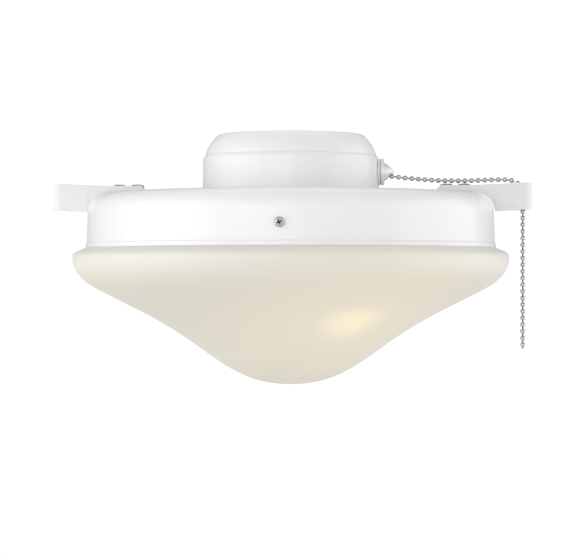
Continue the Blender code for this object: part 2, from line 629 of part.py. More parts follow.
def make_nipple_stack():
    top = TOP_NUT_Z + LOCKNUT_HEIGHT + NIPPLE_PROUD
    low = LOWER_NUT_Z - NIPPLE_PROUD
    add_object("centre_nipple", sleeve(NIPPLE_BORE_RADIUS, NIPPLE_RADIUS, low, top), "zinc_steel")
    for name, foot in (
        ("top_locknut", TOP_NUT_Z), ("floor_locknut", FLOOR_NUT_Z), ("lower_locknut", LOWER_NUT_Z),
    ):
        hex_nut(name, NIPPLE_RADIUS, LOCKNUT_RADIUS, foot, foot + LOCKNUT_HEIGHT)
    ring = sleeve(clear_radius(NIPPLE_RADIUS), WASHER_RADIUS, LOWER_WASHER_Z, LOWER_WASHER_Z + WASHER_HEIGHT)
    add_object("lower_washer", ring, "zinc_steel")


def glass_outline():
    """Outer side of the glass from the lip's underside down to the middle of the bowl."""
    lower = (
        GLASS_BULGE_RADIUS * GLASS_LOWER_TURN_RADIUS_SHARE,
        GLASS_TOP_Z - GLASS_DEPTH * GLASS_LOWER_TURN_DROP_SHARE,
    )
    upper_slope = math.radians(180.0 + GLASS_UPPER_SLOPE_DEG)
    lower_slope = math.radians(180.0 + GLASS_LOWER_SLOPE_DEG)
    knots = [
        ((PAN_RADIUS, GLASS_TOP_Z), (1.0, 0.0)),
        ((GLASS_BULGE_RADIUS, GLASS_TOP_Z - GLASS_BULGE_DROP), (0.0, -1.0)),
        (GLASS_UPPER_TURN, (math.cos(upper_slope), math.sin(upper_slope))),
        (lower, (math.cos(lower_slope), math.sin(lower_slope))),
        ((0.0, GLASS_TOP_Z - GLASS_DEPTH), (-1.0, 0.0)),
    ]
    neck_corner = (GLASS_NECK_RADIUS + GLASS_NECK_ROUND, GLASS_TOP_Z + GLASS_NECK_ROUND)
    points = arc(neck_corner, GLASS_NECK_ROUND, 180.0, 270.0, 2)
    for (start, heading), (end, arriving), shares, steps in zip(
        knots, knots[1:], GLASS_HANDLE_SHARES, GLASS_SPAN_STEPS
    ):
        chord = math.dist(start, end)
        first = [start[i] + heading[i] * chord * shares[0] for i in (0, 1)]
        second = [end[i] - arriving[i] * chord * shares[1] for i in (0, 1)]
        span = bezier(start, first, second, end, steps)
        points += span if start == knots[0][0] else span[1:]
    return points


def make_glass():
    lip_low = GLASS_SCREW_Z + GLASS_SCREW_RADIUS + GLASS_LIP_GAP
    lip_radius = GLASS_NECK_RADIUS + GLASS_LIP_FLARE
    lip_edge = lip_low + GLASS_LIP_RISE
    lip_top = lip_edge + GLASS_LIP_HEIGHT
    below = glass_outline()
    inner = offset(below, GLASS_WALL)
    inner[-1] = (0.0, below[-1][1] + GLASS_WALL)
    outline = [(lip_radius - GLASS_WALL, lip_top), (lip_radius, lip_top), (lip_radius, lip_edge)]
    outline += [(GLASS_NECK_RADIUS, lip_low)] + below + inner[::-1]
    outline += [(GLASS_NECK_RADIUS - GLASS_WALL, lip_low)]
    add_object("glass_bowl", spun(outline, SHELL_FACES), "frosted_glass")


def glass_screw_angles():
    return [GLASS_SCREW_FIRST_DEG + 360.0 * index / GLASS_SCREW_COUNT for index in range(GLASS_SCREW_COUNT)]


def pan_side_radius(height):
    """Outer radius of the pan's drafted side at this height."""
    side_top = PAN_TOP_Z - PAN_SHOULDER_ROUND
    side_low = PAN_RIM_Z + PAN_RIM_HEIGHT + PAN_RIM_RISE
    return PAN_RADIUS + PAN_DRAFT * (side_top - height) / (side_top - side_low)


def dome(radius, height, shares):
    """Points of (radius, height) down a domed head."""
    return [(radius * across, height * up) for across, up in shares]


def make_glass_screws():
    face = pan_side_radius(GLASS_SCREW_Z)
    seat = face + GAP
    tip = GLASS_NECK_RADIUS + GLASS_SCREW_TIP_GAP - seat
    screw = dome(GLASS_SCREW_HEAD_RADIUS, GLASS_SCREW_HEAD_HEIGHT, GLASS_SCREW_DOME_SHARES)
    screw += [
        (GLASS_SCREW_HEAD_RADIUS, 0.0), (GLASS_SCREW_RADIUS, 0.0), (GLASS_SCREW_RADIUS, tip), (0.0, tip),
    ]
    inner_flat = (face - PAN_WALL) * math.cos(math.pi / SHELL_FACES)
    boss_face = math.sqrt(inner_flat**2 - BOSS_RADIUS**2) - GAP
    for index, angle in enumerate(glass_screw_angles()):
        place = radial(angle, seat, GLASS_SCREW_Z)
        add_object(f"glass_screw_{index + 1}", spun(screw, SMALL_FACES), "nickel", place)
        bore = clear_radius(GLASS_SCREW_RADIUS)
        boss = sleeve(bore, BOSS_RADIUS, boss_face - BOSS_HEIGHT - seat, boss_face - seat)
        add_object(f"screw_boss_{index + 1}", boss, "zinc_steel", place)


def foot_screw_xs():
    outer = PAN_FLAT_RADIUS - FOOT_SCREW_INSET
    return outer - FOOT_SCREW_SPACING, outer


def foot_screw_y():
    return -ARM_EYE_RADIUS + FOOT_SCREW_SIDE


def foot_screw_places():
    return [(side * x, foot_screw_y()) for side in (1, -1) for x in foot_screw_xs()]


def eye_path():
    """Middle line of the strap seen from above, from its inner end round the eye and back to itself."""
    middle = ARM_EYE_RADIUS - ARM_THICKNESS / 2
    left = EYE_X + ARM_EYE_RADIUS - ARM_EYE_LENGTH + ARM_THICKNESS / 2
    corner = (left + ARM_EYE_CORNER, middle - ARM_EYE_CORNER)
    path = arc((EYE_X, 0.0), middle, -90.0, 90.0, ARM_EYE_STEPS)
    path += arc(corner, ARM_EYE_CORNER, 90.0, 180.0, ARM_EYE_CORNER_STEPS)
    return path + [(left, -middle + ARM_THICKNESS / 2 + ARM_EYE_SLIT)]


def arm_edges(x):
    """Bottom and top height of the strap at this distance from the axis."""
    tip = EYE_X + ARM_EYE_RADIUS
    span = max(0.0, x - PAN_FLAT_RADIUS) / (tip - PAN_FLAT_RADIUS)
    top = PAN_TOP_Z + ARM_INNER_TOP_RISE + span * (ARM_TIP_TOP_RISE - ARM_INNER_TOP_RISE)
    low_inner = PAN_RADIUS + ARM_NOTCH_GAP
    low_span = max(0.0, x - low_inner) / (tip - low_inner)
    low = PAN_TOP_Z - ARM_INNER_BOTTOM_DROP + low_span * (ARM_INNER_BOTTOM_DROP - ARM_TIP_BOTTOM_DROP)
    return low, top


def arm_stations():
    """Points of the strap's middle line with the bottom and top height at each."""
    middle = ARM_EYE_RADIUS - ARM_THICKNESS / 2
    foot_inner = PAN_FLAT_RADIUS - FOOT_INSET - FOOT_LENGTH
    foot_low = PAN_TOP_Z + GAP
    top = PAN_TOP_Z + ARM_INNER_TOP_RISE
    stations = [(foot_inner, -middle, foot_low, foot_low + FOOT_THICKNESS)]
    stations += [(foot_inner + ARM_END_SLOPE_LENGTH, -middle, foot_low, top)]
    shoulder = (PAN_FLAT_RADIUS, PAN_TOP_Z - PAN_SHOULDER_ROUND)
    reach = PAN_SHOULDER_ROUND + ARM_NOTCH_GAP
    stop_deg = math.degrees(math.asin((PAN_SHOULDER_ROUND - ARM_INNER_BOTTOM_DROP) / reach))
    for x, low in arc(shoulder, reach, 90.0, stop_deg, ARM_NOTCH_STEPS):
        stations.append((x, -middle, max(low, arm_edges(x)[0]), arm_edges(x)[1]))
    outer = stations[-1][0] + ARM_NOTCH_GAP
    stations.append((outer, -middle, *arm_edges(outer)))
    for x, y in eye_path():
        stations.append((x, y, *arm_edges(x)))
    return stations


def strap_shape(stations):
    """A strip on edge through the stations, closed at both ends."""
    path = [(x, y) for x, y, low, high in stations]
    sides = offset(path, -ARM_THICKNESS / 2), offset(path, ARM_THICKNESS / 2)
    shape = bmesh.new()
    rings = []
    for (x0, y0), (x1, y1), (x, y, low, high) in zip(*sides, stations):
        corners = ((x0, y0, low), (x1, y1, low), (x1, y1, high), (x0, y0, high))
        rings.append([shape.verts.new(corner) for corner in corners])
    for here, after in zip(rings, rings[1:]):
        for index in range(4):
            beside = (index + 1) % 4
            shape.faces.new((here[index], here[beside], after[beside], after[index]))
    shape.faces.new(rings[0])
    shape.faces.new(rings[-1][::-1])
    return shape


def foot_outline():
    inner = PAN_FLAT_RADIUS - FOOT_INSET - FOOT_LENGTH
    web = ARM_THICKNESS / 2 - ARM_EYE_RADIUS
    back = FOOT_WIDTH - ARM_EYE_RADIUS
    return [
        (inner, web), (inner + FOOT_LENGTH, web), (inner + FOOT_LENGTH, back - FOOT_CORNER),
        (inner + FOOT_LENGTH - FOOT_CORNER, back), (inner + FOOT_CORNER, back), (inner, back - FOOT_CORNER),
    ]


def mirrored(points, side):
    """The points on their own side of the axis, 1 for the right and -1 for the left."""
    return [(side * point[0], *point[1:]) for point in points]


def make_arms():
    low = PAN_TOP_Z + GAP
    head_low = low + FOOT_THICKNESS + GAP
    nut_top = PAN_CEILING_Z - GAP
    nut_low = nut_top - FOOT_NUT_HEIGHT
    end = nut_low - FOOT_SCREW_END
    head = dome(FOOT_SCREW_HEAD_RADIUS, FOOT_SCREW_HEAD_HEIGHT, FOOT_SCREW_DOME_SHARES)
    screw = [(radius, head_low + height) for radius, height in head]
    screw += [
        (FOOT_SCREW_HEAD_RADIUS, head_low + FOOT_SCREW_FLANGE_HEIGHT), (FOOT_SCREW_HEAD_RADIUS, head_low),
        (FOOT_SCREW_RADIUS, head_low), (FOOT_SCREW_RADIUS, end), (0.0, end),
    ]
    number = 0
    for name, side in (("chain_arm_right", 1), ("chain_arm_left", -1)):
        arm = add_object(name, strap_shape(mirrored(arm_stations(), side)), "white_enamel")
        join(arm, "foot", prism(mirrored(foot_outline(), side), low, low + FOOT_THICKNESS))
        for x in foot_screw_xs():
            number += 1
            place = at(side * x, foot_screw_y(), 0.0)
            hole = rod(clear_radius(FOOT_SCREW_RADIUS), low - CUT_OVERRUN, low + FOOT_THICKNESS + CUT_OVERRUN)
            cut(arm, f"screw_hole_{number}", hole, place)
            add_object(f"arm_screw_{number}", spun(screw, SMALL_FACES), "nickel", place)
            hex_nut(f"arm_nut_{number}", FOOT_SCREW_RADIUS, FOOT_NUT_RADIUS, nut_low, nut_top, place)


def bulb_frame(turn_deg):
    """Frame with its origin at the bulb's contact tip and local Z along the bulb."""
    lean = Matrix.Rotation(math.pi / 2 + BULB_TILT, 4, "Y")
    return turned(BULB_AZIMUTH_DEG + turn_deg) @ at(SOCKET_TIP_REACH, 0.0, SOCKET_TIP_Z) @ lean


def make_bracket():
    back = SOCKET_BACK + GAP + BRACKET_THICKNESS / 2
    ear = (
        SOCKET_TIP_REACH - BULB_DIRECTION[0] * back,
        SOCKET_TIP_Z - BULB_DIRECTION[1] * back,
    )
    plate_z = BRACKET_TOP_Z - BRACKET_THICKNESS / 2
    rise = (plate_z - ear[1]) / BULB_ACROSS[1]
    bend = (ear[0] + BULB_ACROSS[0] * rise, plate_z)
    tail = (ear[0] - BULB_ACROSS[0] * BRACKET_EAR_TAIL, ear[1] - BULB_ACROSS[1] * BRACKET_EAR_TAIL)
    path = [(-tail[0], tail[1]), (-bend[0], bend[1]), bend, tail]
    stand = turned(BULB_AZIMUTH_DEG) @ Matrix.Rotation(math.pi / 2, 4, "X")
    strap = prism(thickened(path, BRACKET_THICKNESS), -BRACKET_WIDTH / 2, BRACKET_WIDTH / 2)
    bracket = add_object("socket_bracket", strap, "zinc_steel", stand)
    radius = clear_radius(NIPPLE_RADIUS)
    hole_through(bracket, "nipple_hole", radius, 0.0, 0.0, BRACKET_BOTTOM_Z, BRACKET_TOP_Z)
    for index, turn in enumerate((0.0, 180.0)):
        low = -SOCKET_BACK - GAP - BRACKET_THICKNESS - GAP
        hole = rod(clear_radius(SOCKET_STUD_RADIUS), low - GAP, -SOCKET_BACK)
        cut(bracket, f"stud_hole_{index}", hole, bulb_frame(turn))


def make_lamp_holders():
    ear_back = -SOCKET_BACK - GAP - BRACKET_THICKNESS - GAP
    shell_radius = clear_radius(BULB_CAP_RADIUS, BULB_FACES)
    bore = clear_radius(shell_radius + SHELL_WALL, BULB_FACES)
    body = [
        (0.0, ear_back - SOCKET_RIVET_HEIGHT), (SOCKET_RIVET_RADIUS, ear_back - SOCKET_RIVET_HEIGHT),
        (SOCKET_RIVET_RADIUS, ear_back), (SOCKET_STUD_RADIUS, ear_back),
        (SOCKET_STUD_RADIUS, -SOCKET_BACK), (SOCKET_RADIUS, -SOCKET_BACK),
        (SOCKET_RADIUS, SOCKET_LENGTH), (bore, SOCKET_LENGTH), (bore, -SOCKET_FLOOR), (0.0, -SOCKET_FLOOR),
    ]
    floor = -SOCKET_FLOOR + GAP
    shell_top = SOCKET_LENGTH - SHELL_INSET
    contact = [
        (0.0, -GAP), (CONTACT_BUTTON_RADIUS, -GAP), (CONTACT_BUTTON_RADIUS, floor + CONTACT_BASE_HEIGHT),
        (CONTACT_RADIUS, floor + CONTACT_BASE_HEIGHT), (CONTACT_RADIUS, floor), (0.0, floor),
    ]
    for number, turn in ((1, 0.0), (2, 180.0)):
        place = bulb_frame(turn)
        add_object(f"socket_{number}", spun(body, BULB_FACES), "phenolic", place)
        shell = sleeve(shell_radius, shell_radius + SHELL_WALL, floor, shell_top, BULB_FACES)
        add_object(f"socket_shell_{number}", shell, "brass", place)
        add_object(f"socket_contact_{number}", spun(contact, SMALL_FACES), "brass", place)


def bulb_side():
    """Outer side of the bulb's glass from its foot to the end of the globe."""
    foot = BULB_CAP_LENGTH + GAP
    centre = (0.0, BULB_LENGTH - BULB_GLOBE_RADIUS)
    globe = arc(centre, BULB_GLOBE_RADIUS, BULB_SHOULDER_DEG, 90.0, BULB_GLOBE_STEPS)
    neck = (BULB_NECK_RADIUS, BULB_NECK_LENGTH)
    chord = math.dist(neck, globe[0])
    slope = math.radians(BULB_SHOULDER_DEG + 90.0)
    first = (neck[0], neck[1] + chord * BULB_HANDLE_SHARE)
    second = (
        globe[0][0] - math.cos(slope) * chord * BULB_HANDLE_SHARE,
        globe[0][1] - math.sin(slope) * chord * BULB_HANDLE_SHARE,
    )
    shoulder = bezier(neck, first, second, globe[0], BULB_SHOULDER_STEPS)
    return [(BULB_CAP_RADIUS - BULB_WALL / 2, foot)] + shoulder[:-1] + globe[:-1] + [(0.0, BULB_LENGTH)]


def make_bulbs():
    outer = bulb_side()
    inner = offset(outer, -BULB_WALL)
    inner[0] = (outer[0][0] - BULB_WALL, outer[0][1])
    inner[-1] = (0.0, BULB_LENGTH - BULB_WALL)
    cap = [
        (0.0, 0.0), (BULB_CAP_TIP_RADIUS, 0.0), (BULB_CAP_RADIUS, BULB_CAP_SHOULDER),
        (BULB_CAP_RADIUS, BULB_CAP_LENGTH), (0.0, BULB_CAP_LENGTH),
    ]
    for number, turn in ((1, 0.0), (2, 180.0)):
        place = bulb_frame(turn)
        add_object(f"bulb_cap_{number}", spun(cap, BULB_FACES), "brass", place)
        add_object(f"bulb_glass_{number}", spun(outer + inner[::-1], BULB_FACES), "bulb_glass", place)


def make_nozzle():
    washer_low = HOUSING_BASE_RADIUS + GAP
    flange_low = washer_low + NOZZLE_WASHER_HEIGHT + GAP
    hood_low = NOZZLE_FLANGE_HEIGHT
    tip = hood_low + NOZZLE_HOOD_LENGTH
    outer_hood = []
    inner_hood = []
    for step in range(NOZZLE_HOOD_STEPS + 1):
        share = step / NOZZLE_HOOD_STEPS
        swell = NOZZLE_HOOD_SWELL_SHARE * 4 * share * (1 - share) / 2
        radius_share = 1 - share + swell
        outer_hood.append((NOZZLE_HOOD_RADIUS * radius_share, hood_low + NOZZLE_HOOD_LENGTH * share))
        inner_length = NOZZLE_HOOD_LENGTH - NOZZLE_HOOD_WALL
        inner_hood.append((NOZZLE_BORE_RADIUS * radius_share, hood_low + inner_length * share))
    outline = [
        (NOZZLE_BORE_RADIUS, -NOZZLE_TUBE_LENGTH), (NOZZLE_TUBE_RADIUS, -NOZZLE_TUBE_LENGTH),
        (NOZZLE_TUBE_RADIUS, 0.0), (NOZZLE_FLANGE_RADIUS, 0.0),
        (NOZZLE_FLANGE_RADIUS, NOZZLE_FLANGE_HEIGHT - NOZZLE_FLANGE_ROUND),
        (NOZZLE_FLANGE_RADIUS - NOZZLE_FLANGE_ROUND, NOZZLE_FLANGE_HEIGHT),
    ]
    outline += outer_hood + inner_hood[::-1]
    place = radial(0.0, flange_low, NOZZLE_Z)
    nozzle = add_object("chain_nozzle", spun(outline, BULB_FACES), "nickel", place)
    exit_hole = rod(CHAIN_EXIT_RADIUS, hood_low + NOZZLE_HOOD_WALL, tip + CUT_OVERRUN)
    cut(nozzle, "chain_exit", exit_hole, radial(0.0, flange_low, CHAIN_EXIT_Z))
    bore = clear_radius(NOZZLE_TUBE_RADIUS)
    ring = sleeve(bore, NOZZLE_FLANGE_RADIUS, 0.0, NOZZLE_WASHER_HEIGHT, BULB_FACES)
    add_object("nozzle_washer", ring, "white_enamel", radial(0.0, washer_low, NOZZLE_Z))
    inner_face = math.sqrt((HOUSING_RADIUS - HOUSING_WALL) ** 2 - NOZZLE_NUT_RADIUS**2)
    nut_high = inner_face - 2 * GAP
    nut_place = radial(0.0, nut_high - NOZZLE_NUT_HEIGHT, NOZZLE_Z)
    hex_nut("nozzle_nut", NOZZLE_TUBE_RADIUS, NOZZLE_NUT_RADIUS, 0.0, NOZZLE_NUT_HEIGHT, nut_place)
    return flange_low - NOZZLE_TUBE_LENGTH


def along_y(x, y, z):
    """Frame whose local Z points along +Y."""
    return at(x, y, z) @ Matrix.Rotation(-math.pi / 2, 4, "X")


def make_switch(tube_end):
    flange_radius = PULLEY_PITCH_RADIUS + PULLEY_FLANGE_PROUD
    groove_radius = PULLEY_PITCH_RADIUS - BEAD_RADIUS - GAP
    half_width = PULLEY_GROOVE_WIDTH / 2
    room = flange_radius + SWITCH_ROOM
    front = tube_end - GAP
    centre_x = front - SWITCH_WALL - room
    centre_z = CHAIN_EXIT_Z + PULLEY_PITCH_RADIUS
    low = centre_z - PULLEY_PITCH_RADIUS - CHAIN_EXIT_RADIUS - SWITCH_ROOM
    high = centre_z + room
    y_high = half_width + PULLEY_FLANGE_HEIGHT + SWITCH_ROOM
    y_low = -y_high - SWITCH_SPRING_SIDE
    outer_low = (centre_x - room - SWITCH_WALL, y_low - SWITCH_WALL, low - SWITCH_WALL)
    case = add_object("switch_case", block(outer_low, (front, y_high, high + SWITCH_WALL)), "phenolic")
    inside = block((centre_x - room, y_low, low), (centre_x + room, y_high + CUT_OVERRUN, high))
    cut(case, "inside", inside)
    chain_hole = rod(CHAIN_EXIT_RADIUS, -SWITCH_WALL - CUT_OVERRUN, CUT_OVERRUN)
    cut(case, "chain_hole", chain_hole, radial(0.0, front, CHAIN_EXIT_Z))
    cover_low = (outer_low[0], y_high + GAP, outer_low[2])
    cover = block(cover_low, (front, y_high + GAP + SWITCH_WALL, high + SWITCH_WALL))
    add_object("switch_cover", cover, "phenolic")
    pulley = [
        (clear_radius(SHAFT_RADIUS), -half_width - PULLEY_FLANGE_HEIGHT),
        (flange_radius, -half_width - PULLEY_FLANGE_HEIGHT), (flange_radius, -half_width),
        (groove_radius, -half_width), (groove_radius, half_width),
        (flange_radius, half_width), (flange_radius, half_width + PULLEY_FLANGE_HEIGHT),
        (clear_radius(SHAFT_RADIUS), half_width + PULLEY_FLANGE_HEIGHT),
    ]
    axle = along_y(centre_x, 0.0, centre_z)
    add_object("switch_pulley", spun(pulley, BULB_FACES), "nylon", axle)
    add_object("switch_shaft", rod(SHAFT_RADIUS, y_low + GAP, y_high), "zinc_steel", axle)
    spring_low = y_low + SWITCH_ROOM + SPRING_WIRE_RADIUS
    spring_high = -half_width - PULLEY_FLANGE_HEIGHT - SWITCH_ROOM - SPRING_WIRE_RADIUS
    count = int(SPRING_TURNS * SPRING_TURN_POINTS)
    coil = []
    for index in range(count + 1):
        angle = math.tau * index / SPRING_TURN_POINTS
        along = spring_low + (spring_high - spring_low) * index / count
        x = centre_x + SPRING_COIL_RADIUS * math.cos(angle)
        coil.append((x, along, centre_z + SPRING_COIL_RADIUS * math.sin(angle)))
    tube("switch_spring", coil, [SPRING_WIRE_RADIUS] * len(coil), 0, "zinc_steel")
    back = centre_x - room
    middle = (y_low + y_high) / 2
    for number, side in ((1, 1), (2, -1)):
        z = centre_z + side * BLADE_SIDE
        blade_low = (back - SWITCH_WALL - BLADE_OUTSIDE, middle - BLADE_WIDTH / 2, z - BLADE_THICKNESS / 2)
        blade_high = (back + BLADE_INSIDE, middle + BLADE_WIDTH / 2, z + BLADE_THICKNESS / 2)
        add_object(f"contact_blade_{number}", block(blade_low, blade_high), "brass")
        slot_low = (blade_low[0], blade_low[1] - GAP, blade_low[2] - GAP)
        slot_high = (blade_high[0] + CUT_OVERRUN, blade_high[1] + GAP, blade_high[2] + GAP)
        cut(case, f"blade_slot_{number}", block(slot_low, slot_high))
    return (back - SWITCH_WALL - BLADE_OUTSIDE, middle, centre_z - BLADE_SIDE)


def smooth_route(route, steps):
    """Points on a smooth curve through the route's own points."""
    knots = [Vector(point) for point in route]
    first = knots[0] * 2 - knots[1]
    last = knots[-1] * 2 - knots[-2]
    padded = [first] + knots + [last]
    points = []
    for a, b, c, d in zip(padded, padded[1:], padded[2:], padded[3:]):
        for step in range(steps):
            t = step / steps
            square = (a * 2 - b * 5 + c * 4 - d) * t**2
            cube = (b * 3 - a - c * 3 + d) * t**3
            points.append((b * 2 + (c - a) * t + square + cube) / 2)
    return points + [knots[-1]]


def along_route(points, distances):
    """Points at these distances along the route, the distances rising."""
    found = []
    travelled = 0.0
    index = 0
    for distance in distances:
        while index < len(points) - 2:
            step = (points[index + 1] - points[index]).length
            if travelled + step >= distance:
                break
            travelled += step
            index += 1
        step = (points[index + 1] - points[index]).length
        found.append(points[index].lerp(points[index + 1], (distance - travelled) / step))
    return found


def tube(name, points, radii, facet_setting, finish):
    """A closed round tube through the points, with a radius at each."""
    widest = max(radii)
    curve = bpy.data.curves.new(name, "CURVE")
    curve.dimensions = "3D"
    curve.bevel_depth = widest
    curve.bevel_resolution = facet_setting
    curve.use_fill_caps = True
    spline = curve.splines.new("POLY")
    spline.points.add(len(points) - 1)
    for target, point, radius in zip(spline.points, points, radii):
        target.co = (*point, 1.0)
        target.radius = radius / widest
    spline.use_smooth = True
    curve.materials.append(finish_material(finish))
    obj = bpy.data.objects.new(name, curve)
    bpy.context.scene.collection.objects.link(obj)
    return obj


def make_chain():
    route = smooth_route([(x, 0.0, z) for x, z in CHAIN_ROUTE], ROUTE_STEPS)
    start = 0.0
    for name, beads, pitch_share, open_share in CHAIN_PIECES:
        pitch = BEAD_PITCH * pitch_share
        start += BEAD_PITCH * open_share
        distances = []
        radii = []
        for bead in range(beads):
            for span, share in zip(BEAD_SPAN_SHARES, BEAD_RADIUS_SHARES):
                distances.append(start + (bead + span) * pitch)
                radii.append(BEAD_RADIUS * share)
        distances[0] += GAP / 2
        if open_share:
            distances[0] = start + pitch * CHAIN_OPEN_START_SHARE
            radii[0] = BEAD_RADIUS * CHAIN_OPEN_RADIUS_SHARE
        start += beads * pitch
        tail = BEAD_PITCH * CHAIN_TAIL_SHARE if name == CHAIN_PIECES[-1][0] else -GAP / 2
        distances.append(start + tail)
        radii.append(BEAD_RADIUS * BEAD_RADIUS_SHARES[0])
        tube(name, along_route(route, distances), radii, CHAIN_FACET_SETTING, "nickel")


def make_leads(terminal):
    holders = turned(BULB_AZIMUTH_DEG)
    mouth = HOUSING_LEAD_ROUTES[0][-1][2] + GAP
    cap = [
        (0.0, mouth + NUT_CAP_HEIGHT), (NUT_CAP_TOP_RADIUS, mouth + NUT_CAP_HEIGHT),
        (NUT_CAP_RADIUS, mouth), (0.0, mouth),
    ]
    for number, side in ((1, 1), (2, -1)):
        below = [holders @ Vector((side * x, y, z)) for x, y, z in HOLDER_LEAD_ROUTE]
        above = [Vector(point) for point in HOUSING_LEAD_ROUTES[number - 1]]
        route = smooth_route(below + above, LEAD_SMOOTH_STEPS)
        tube(f"socket_lead_{number}", route, [LEAD_RADIUS] * len(route), LEAD_FACET_SETTING, "lead_jacket")
        place = at(side * NUT_CAP_X, NUT_CAP_Y, 0.0)
        add_object(f"wire_nut_{number}", spun(cap, SMALL_FACES), "nylon", place)
    x, y, z = terminal
    route = smooth_route([(x - GAP, y, z)] + list(SWITCH_LEAD_ROUTE), LEAD_SMOOTH_STEPS)
    tube("switch_lead", route, [SWITCH_LEAD_RADIUS] * len(route), LEAD_FACET_SETTING, "lead_black")


def main():
    clear_scene()
    make_collar()
    make_housing()
    make_pan()
    make_crossbar()
    make_nipple_stack()
    make_glass()
    make_glass_screws()
    make_arms()
    make_bracket()
    make_lamp_holders()
    make_bulbs()
    tube_end = make_nozzle()
    terminal = make_switch(tube_end)
    make_chain()
    make_leads(terminal)


main()
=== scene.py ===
import json
import math

import bmesh
import bpy
from mathutils import Matrix, Vector


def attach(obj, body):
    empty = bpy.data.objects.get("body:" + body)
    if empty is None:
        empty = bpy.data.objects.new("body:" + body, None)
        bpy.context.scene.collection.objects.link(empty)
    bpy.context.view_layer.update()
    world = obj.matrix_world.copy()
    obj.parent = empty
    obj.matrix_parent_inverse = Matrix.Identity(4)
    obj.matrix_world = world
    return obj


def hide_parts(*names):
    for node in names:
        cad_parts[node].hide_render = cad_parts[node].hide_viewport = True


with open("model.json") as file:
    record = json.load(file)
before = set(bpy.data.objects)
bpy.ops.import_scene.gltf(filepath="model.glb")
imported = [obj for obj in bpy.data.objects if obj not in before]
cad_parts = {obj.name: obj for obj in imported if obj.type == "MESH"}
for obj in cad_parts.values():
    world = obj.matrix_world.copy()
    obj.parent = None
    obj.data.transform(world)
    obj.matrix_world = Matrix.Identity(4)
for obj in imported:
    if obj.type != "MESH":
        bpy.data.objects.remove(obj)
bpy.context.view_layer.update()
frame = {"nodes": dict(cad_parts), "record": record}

mm = 0.001
gap = 0.3 * mm  # what touching pieces keep between them
print("frame loaded")


# The camera stands level and a little to the right of straight on
camera = {
    "distance": 1548 * mm,
    "turn": 4.2,  # degrees from -Y towards +X
    "height": -93.7 * mm,
    "sensor": 36,  # millimetres, as the lens is
    "lens": 147.4,
    "nearest": 0.05,
    "furthest": 40,
    "photoWidth": 586,  # pixels
    "axisLeftOfCentre": 2.2,  # pixels
}


def makeCamera():
    data = bpy.data.cameras.new("studioCamera")
    data.sensor_width = camera["sensor"]
    data.lens = camera["lens"]
    data.shift_x = camera["axisLeftOfCentre"] / camera["photoWidth"]
    data.clip_start = camera["nearest"]
    data.clip_end = camera["furthest"]
    made = bpy.data.objects.new("studioCamera", data)
    bpy.context.scene.collection.objects.link(made)
    turn = math.radians(camera["turn"])
    made.location = Vector((math.sin(turn), -math.cos(turn), 0)) * camera["distance"]
    made.location.z = camera["height"]
    made.rotation_euler = (math.pi / 2, 0, turn)
    bpy.context.scene.camera = made


makeCamera()
print("camera ready")


# Colours, nodes and patterns
def hexColor(code):
    channels = [int(code[i:i + 2], 16) / 255 for i in (1, 3, 5)]
    linear = [c / 12.92 if c <= 0.04045 else ((c + 0.055) / 1.055) ** 2.4 for c in channels]
    return (*linear, 1)


def addNode(tree, kind, settings=None, inputs=None):
    node = tree.nodes.new(kind)
    for name, value in (settings or {}).items():
        setattr(node, name, value)
    for key, value in (inputs or {}).items():
        if isinstance(value, bpy.types.NodeSocket):
            tree.links.new(value, node.inputs[key])
        else:
            node.inputs[key].default_value = value
    return node


def newMaterial(name, sockets):
    made = bpy.data.materials.new(name)
    made.use_nodes = True
    shader = made.node_tree.nodes["Principled BSDF"]
    for socket, value in sockets.items():
        shader.inputs[socket].default_value = value
    return made, made.node_tree, shader


def surfaceNoise(tree, size, detail):
    # noise on Object coordinates whose features are about this size
    place = addNode(tree, "ShaderNodeTexCoord")
    scaled = addNode(tree, "ShaderNodeMapping", None, {
        "Vector": place.outputs["Object"], "Scale": [1 / size] * 3})
    return addNode(tree, "ShaderNodeTexNoise", None, {
        "Vector": scaled.outputs[0], "Scale": 1, "Detail": detail, "Roughness": 0.5})


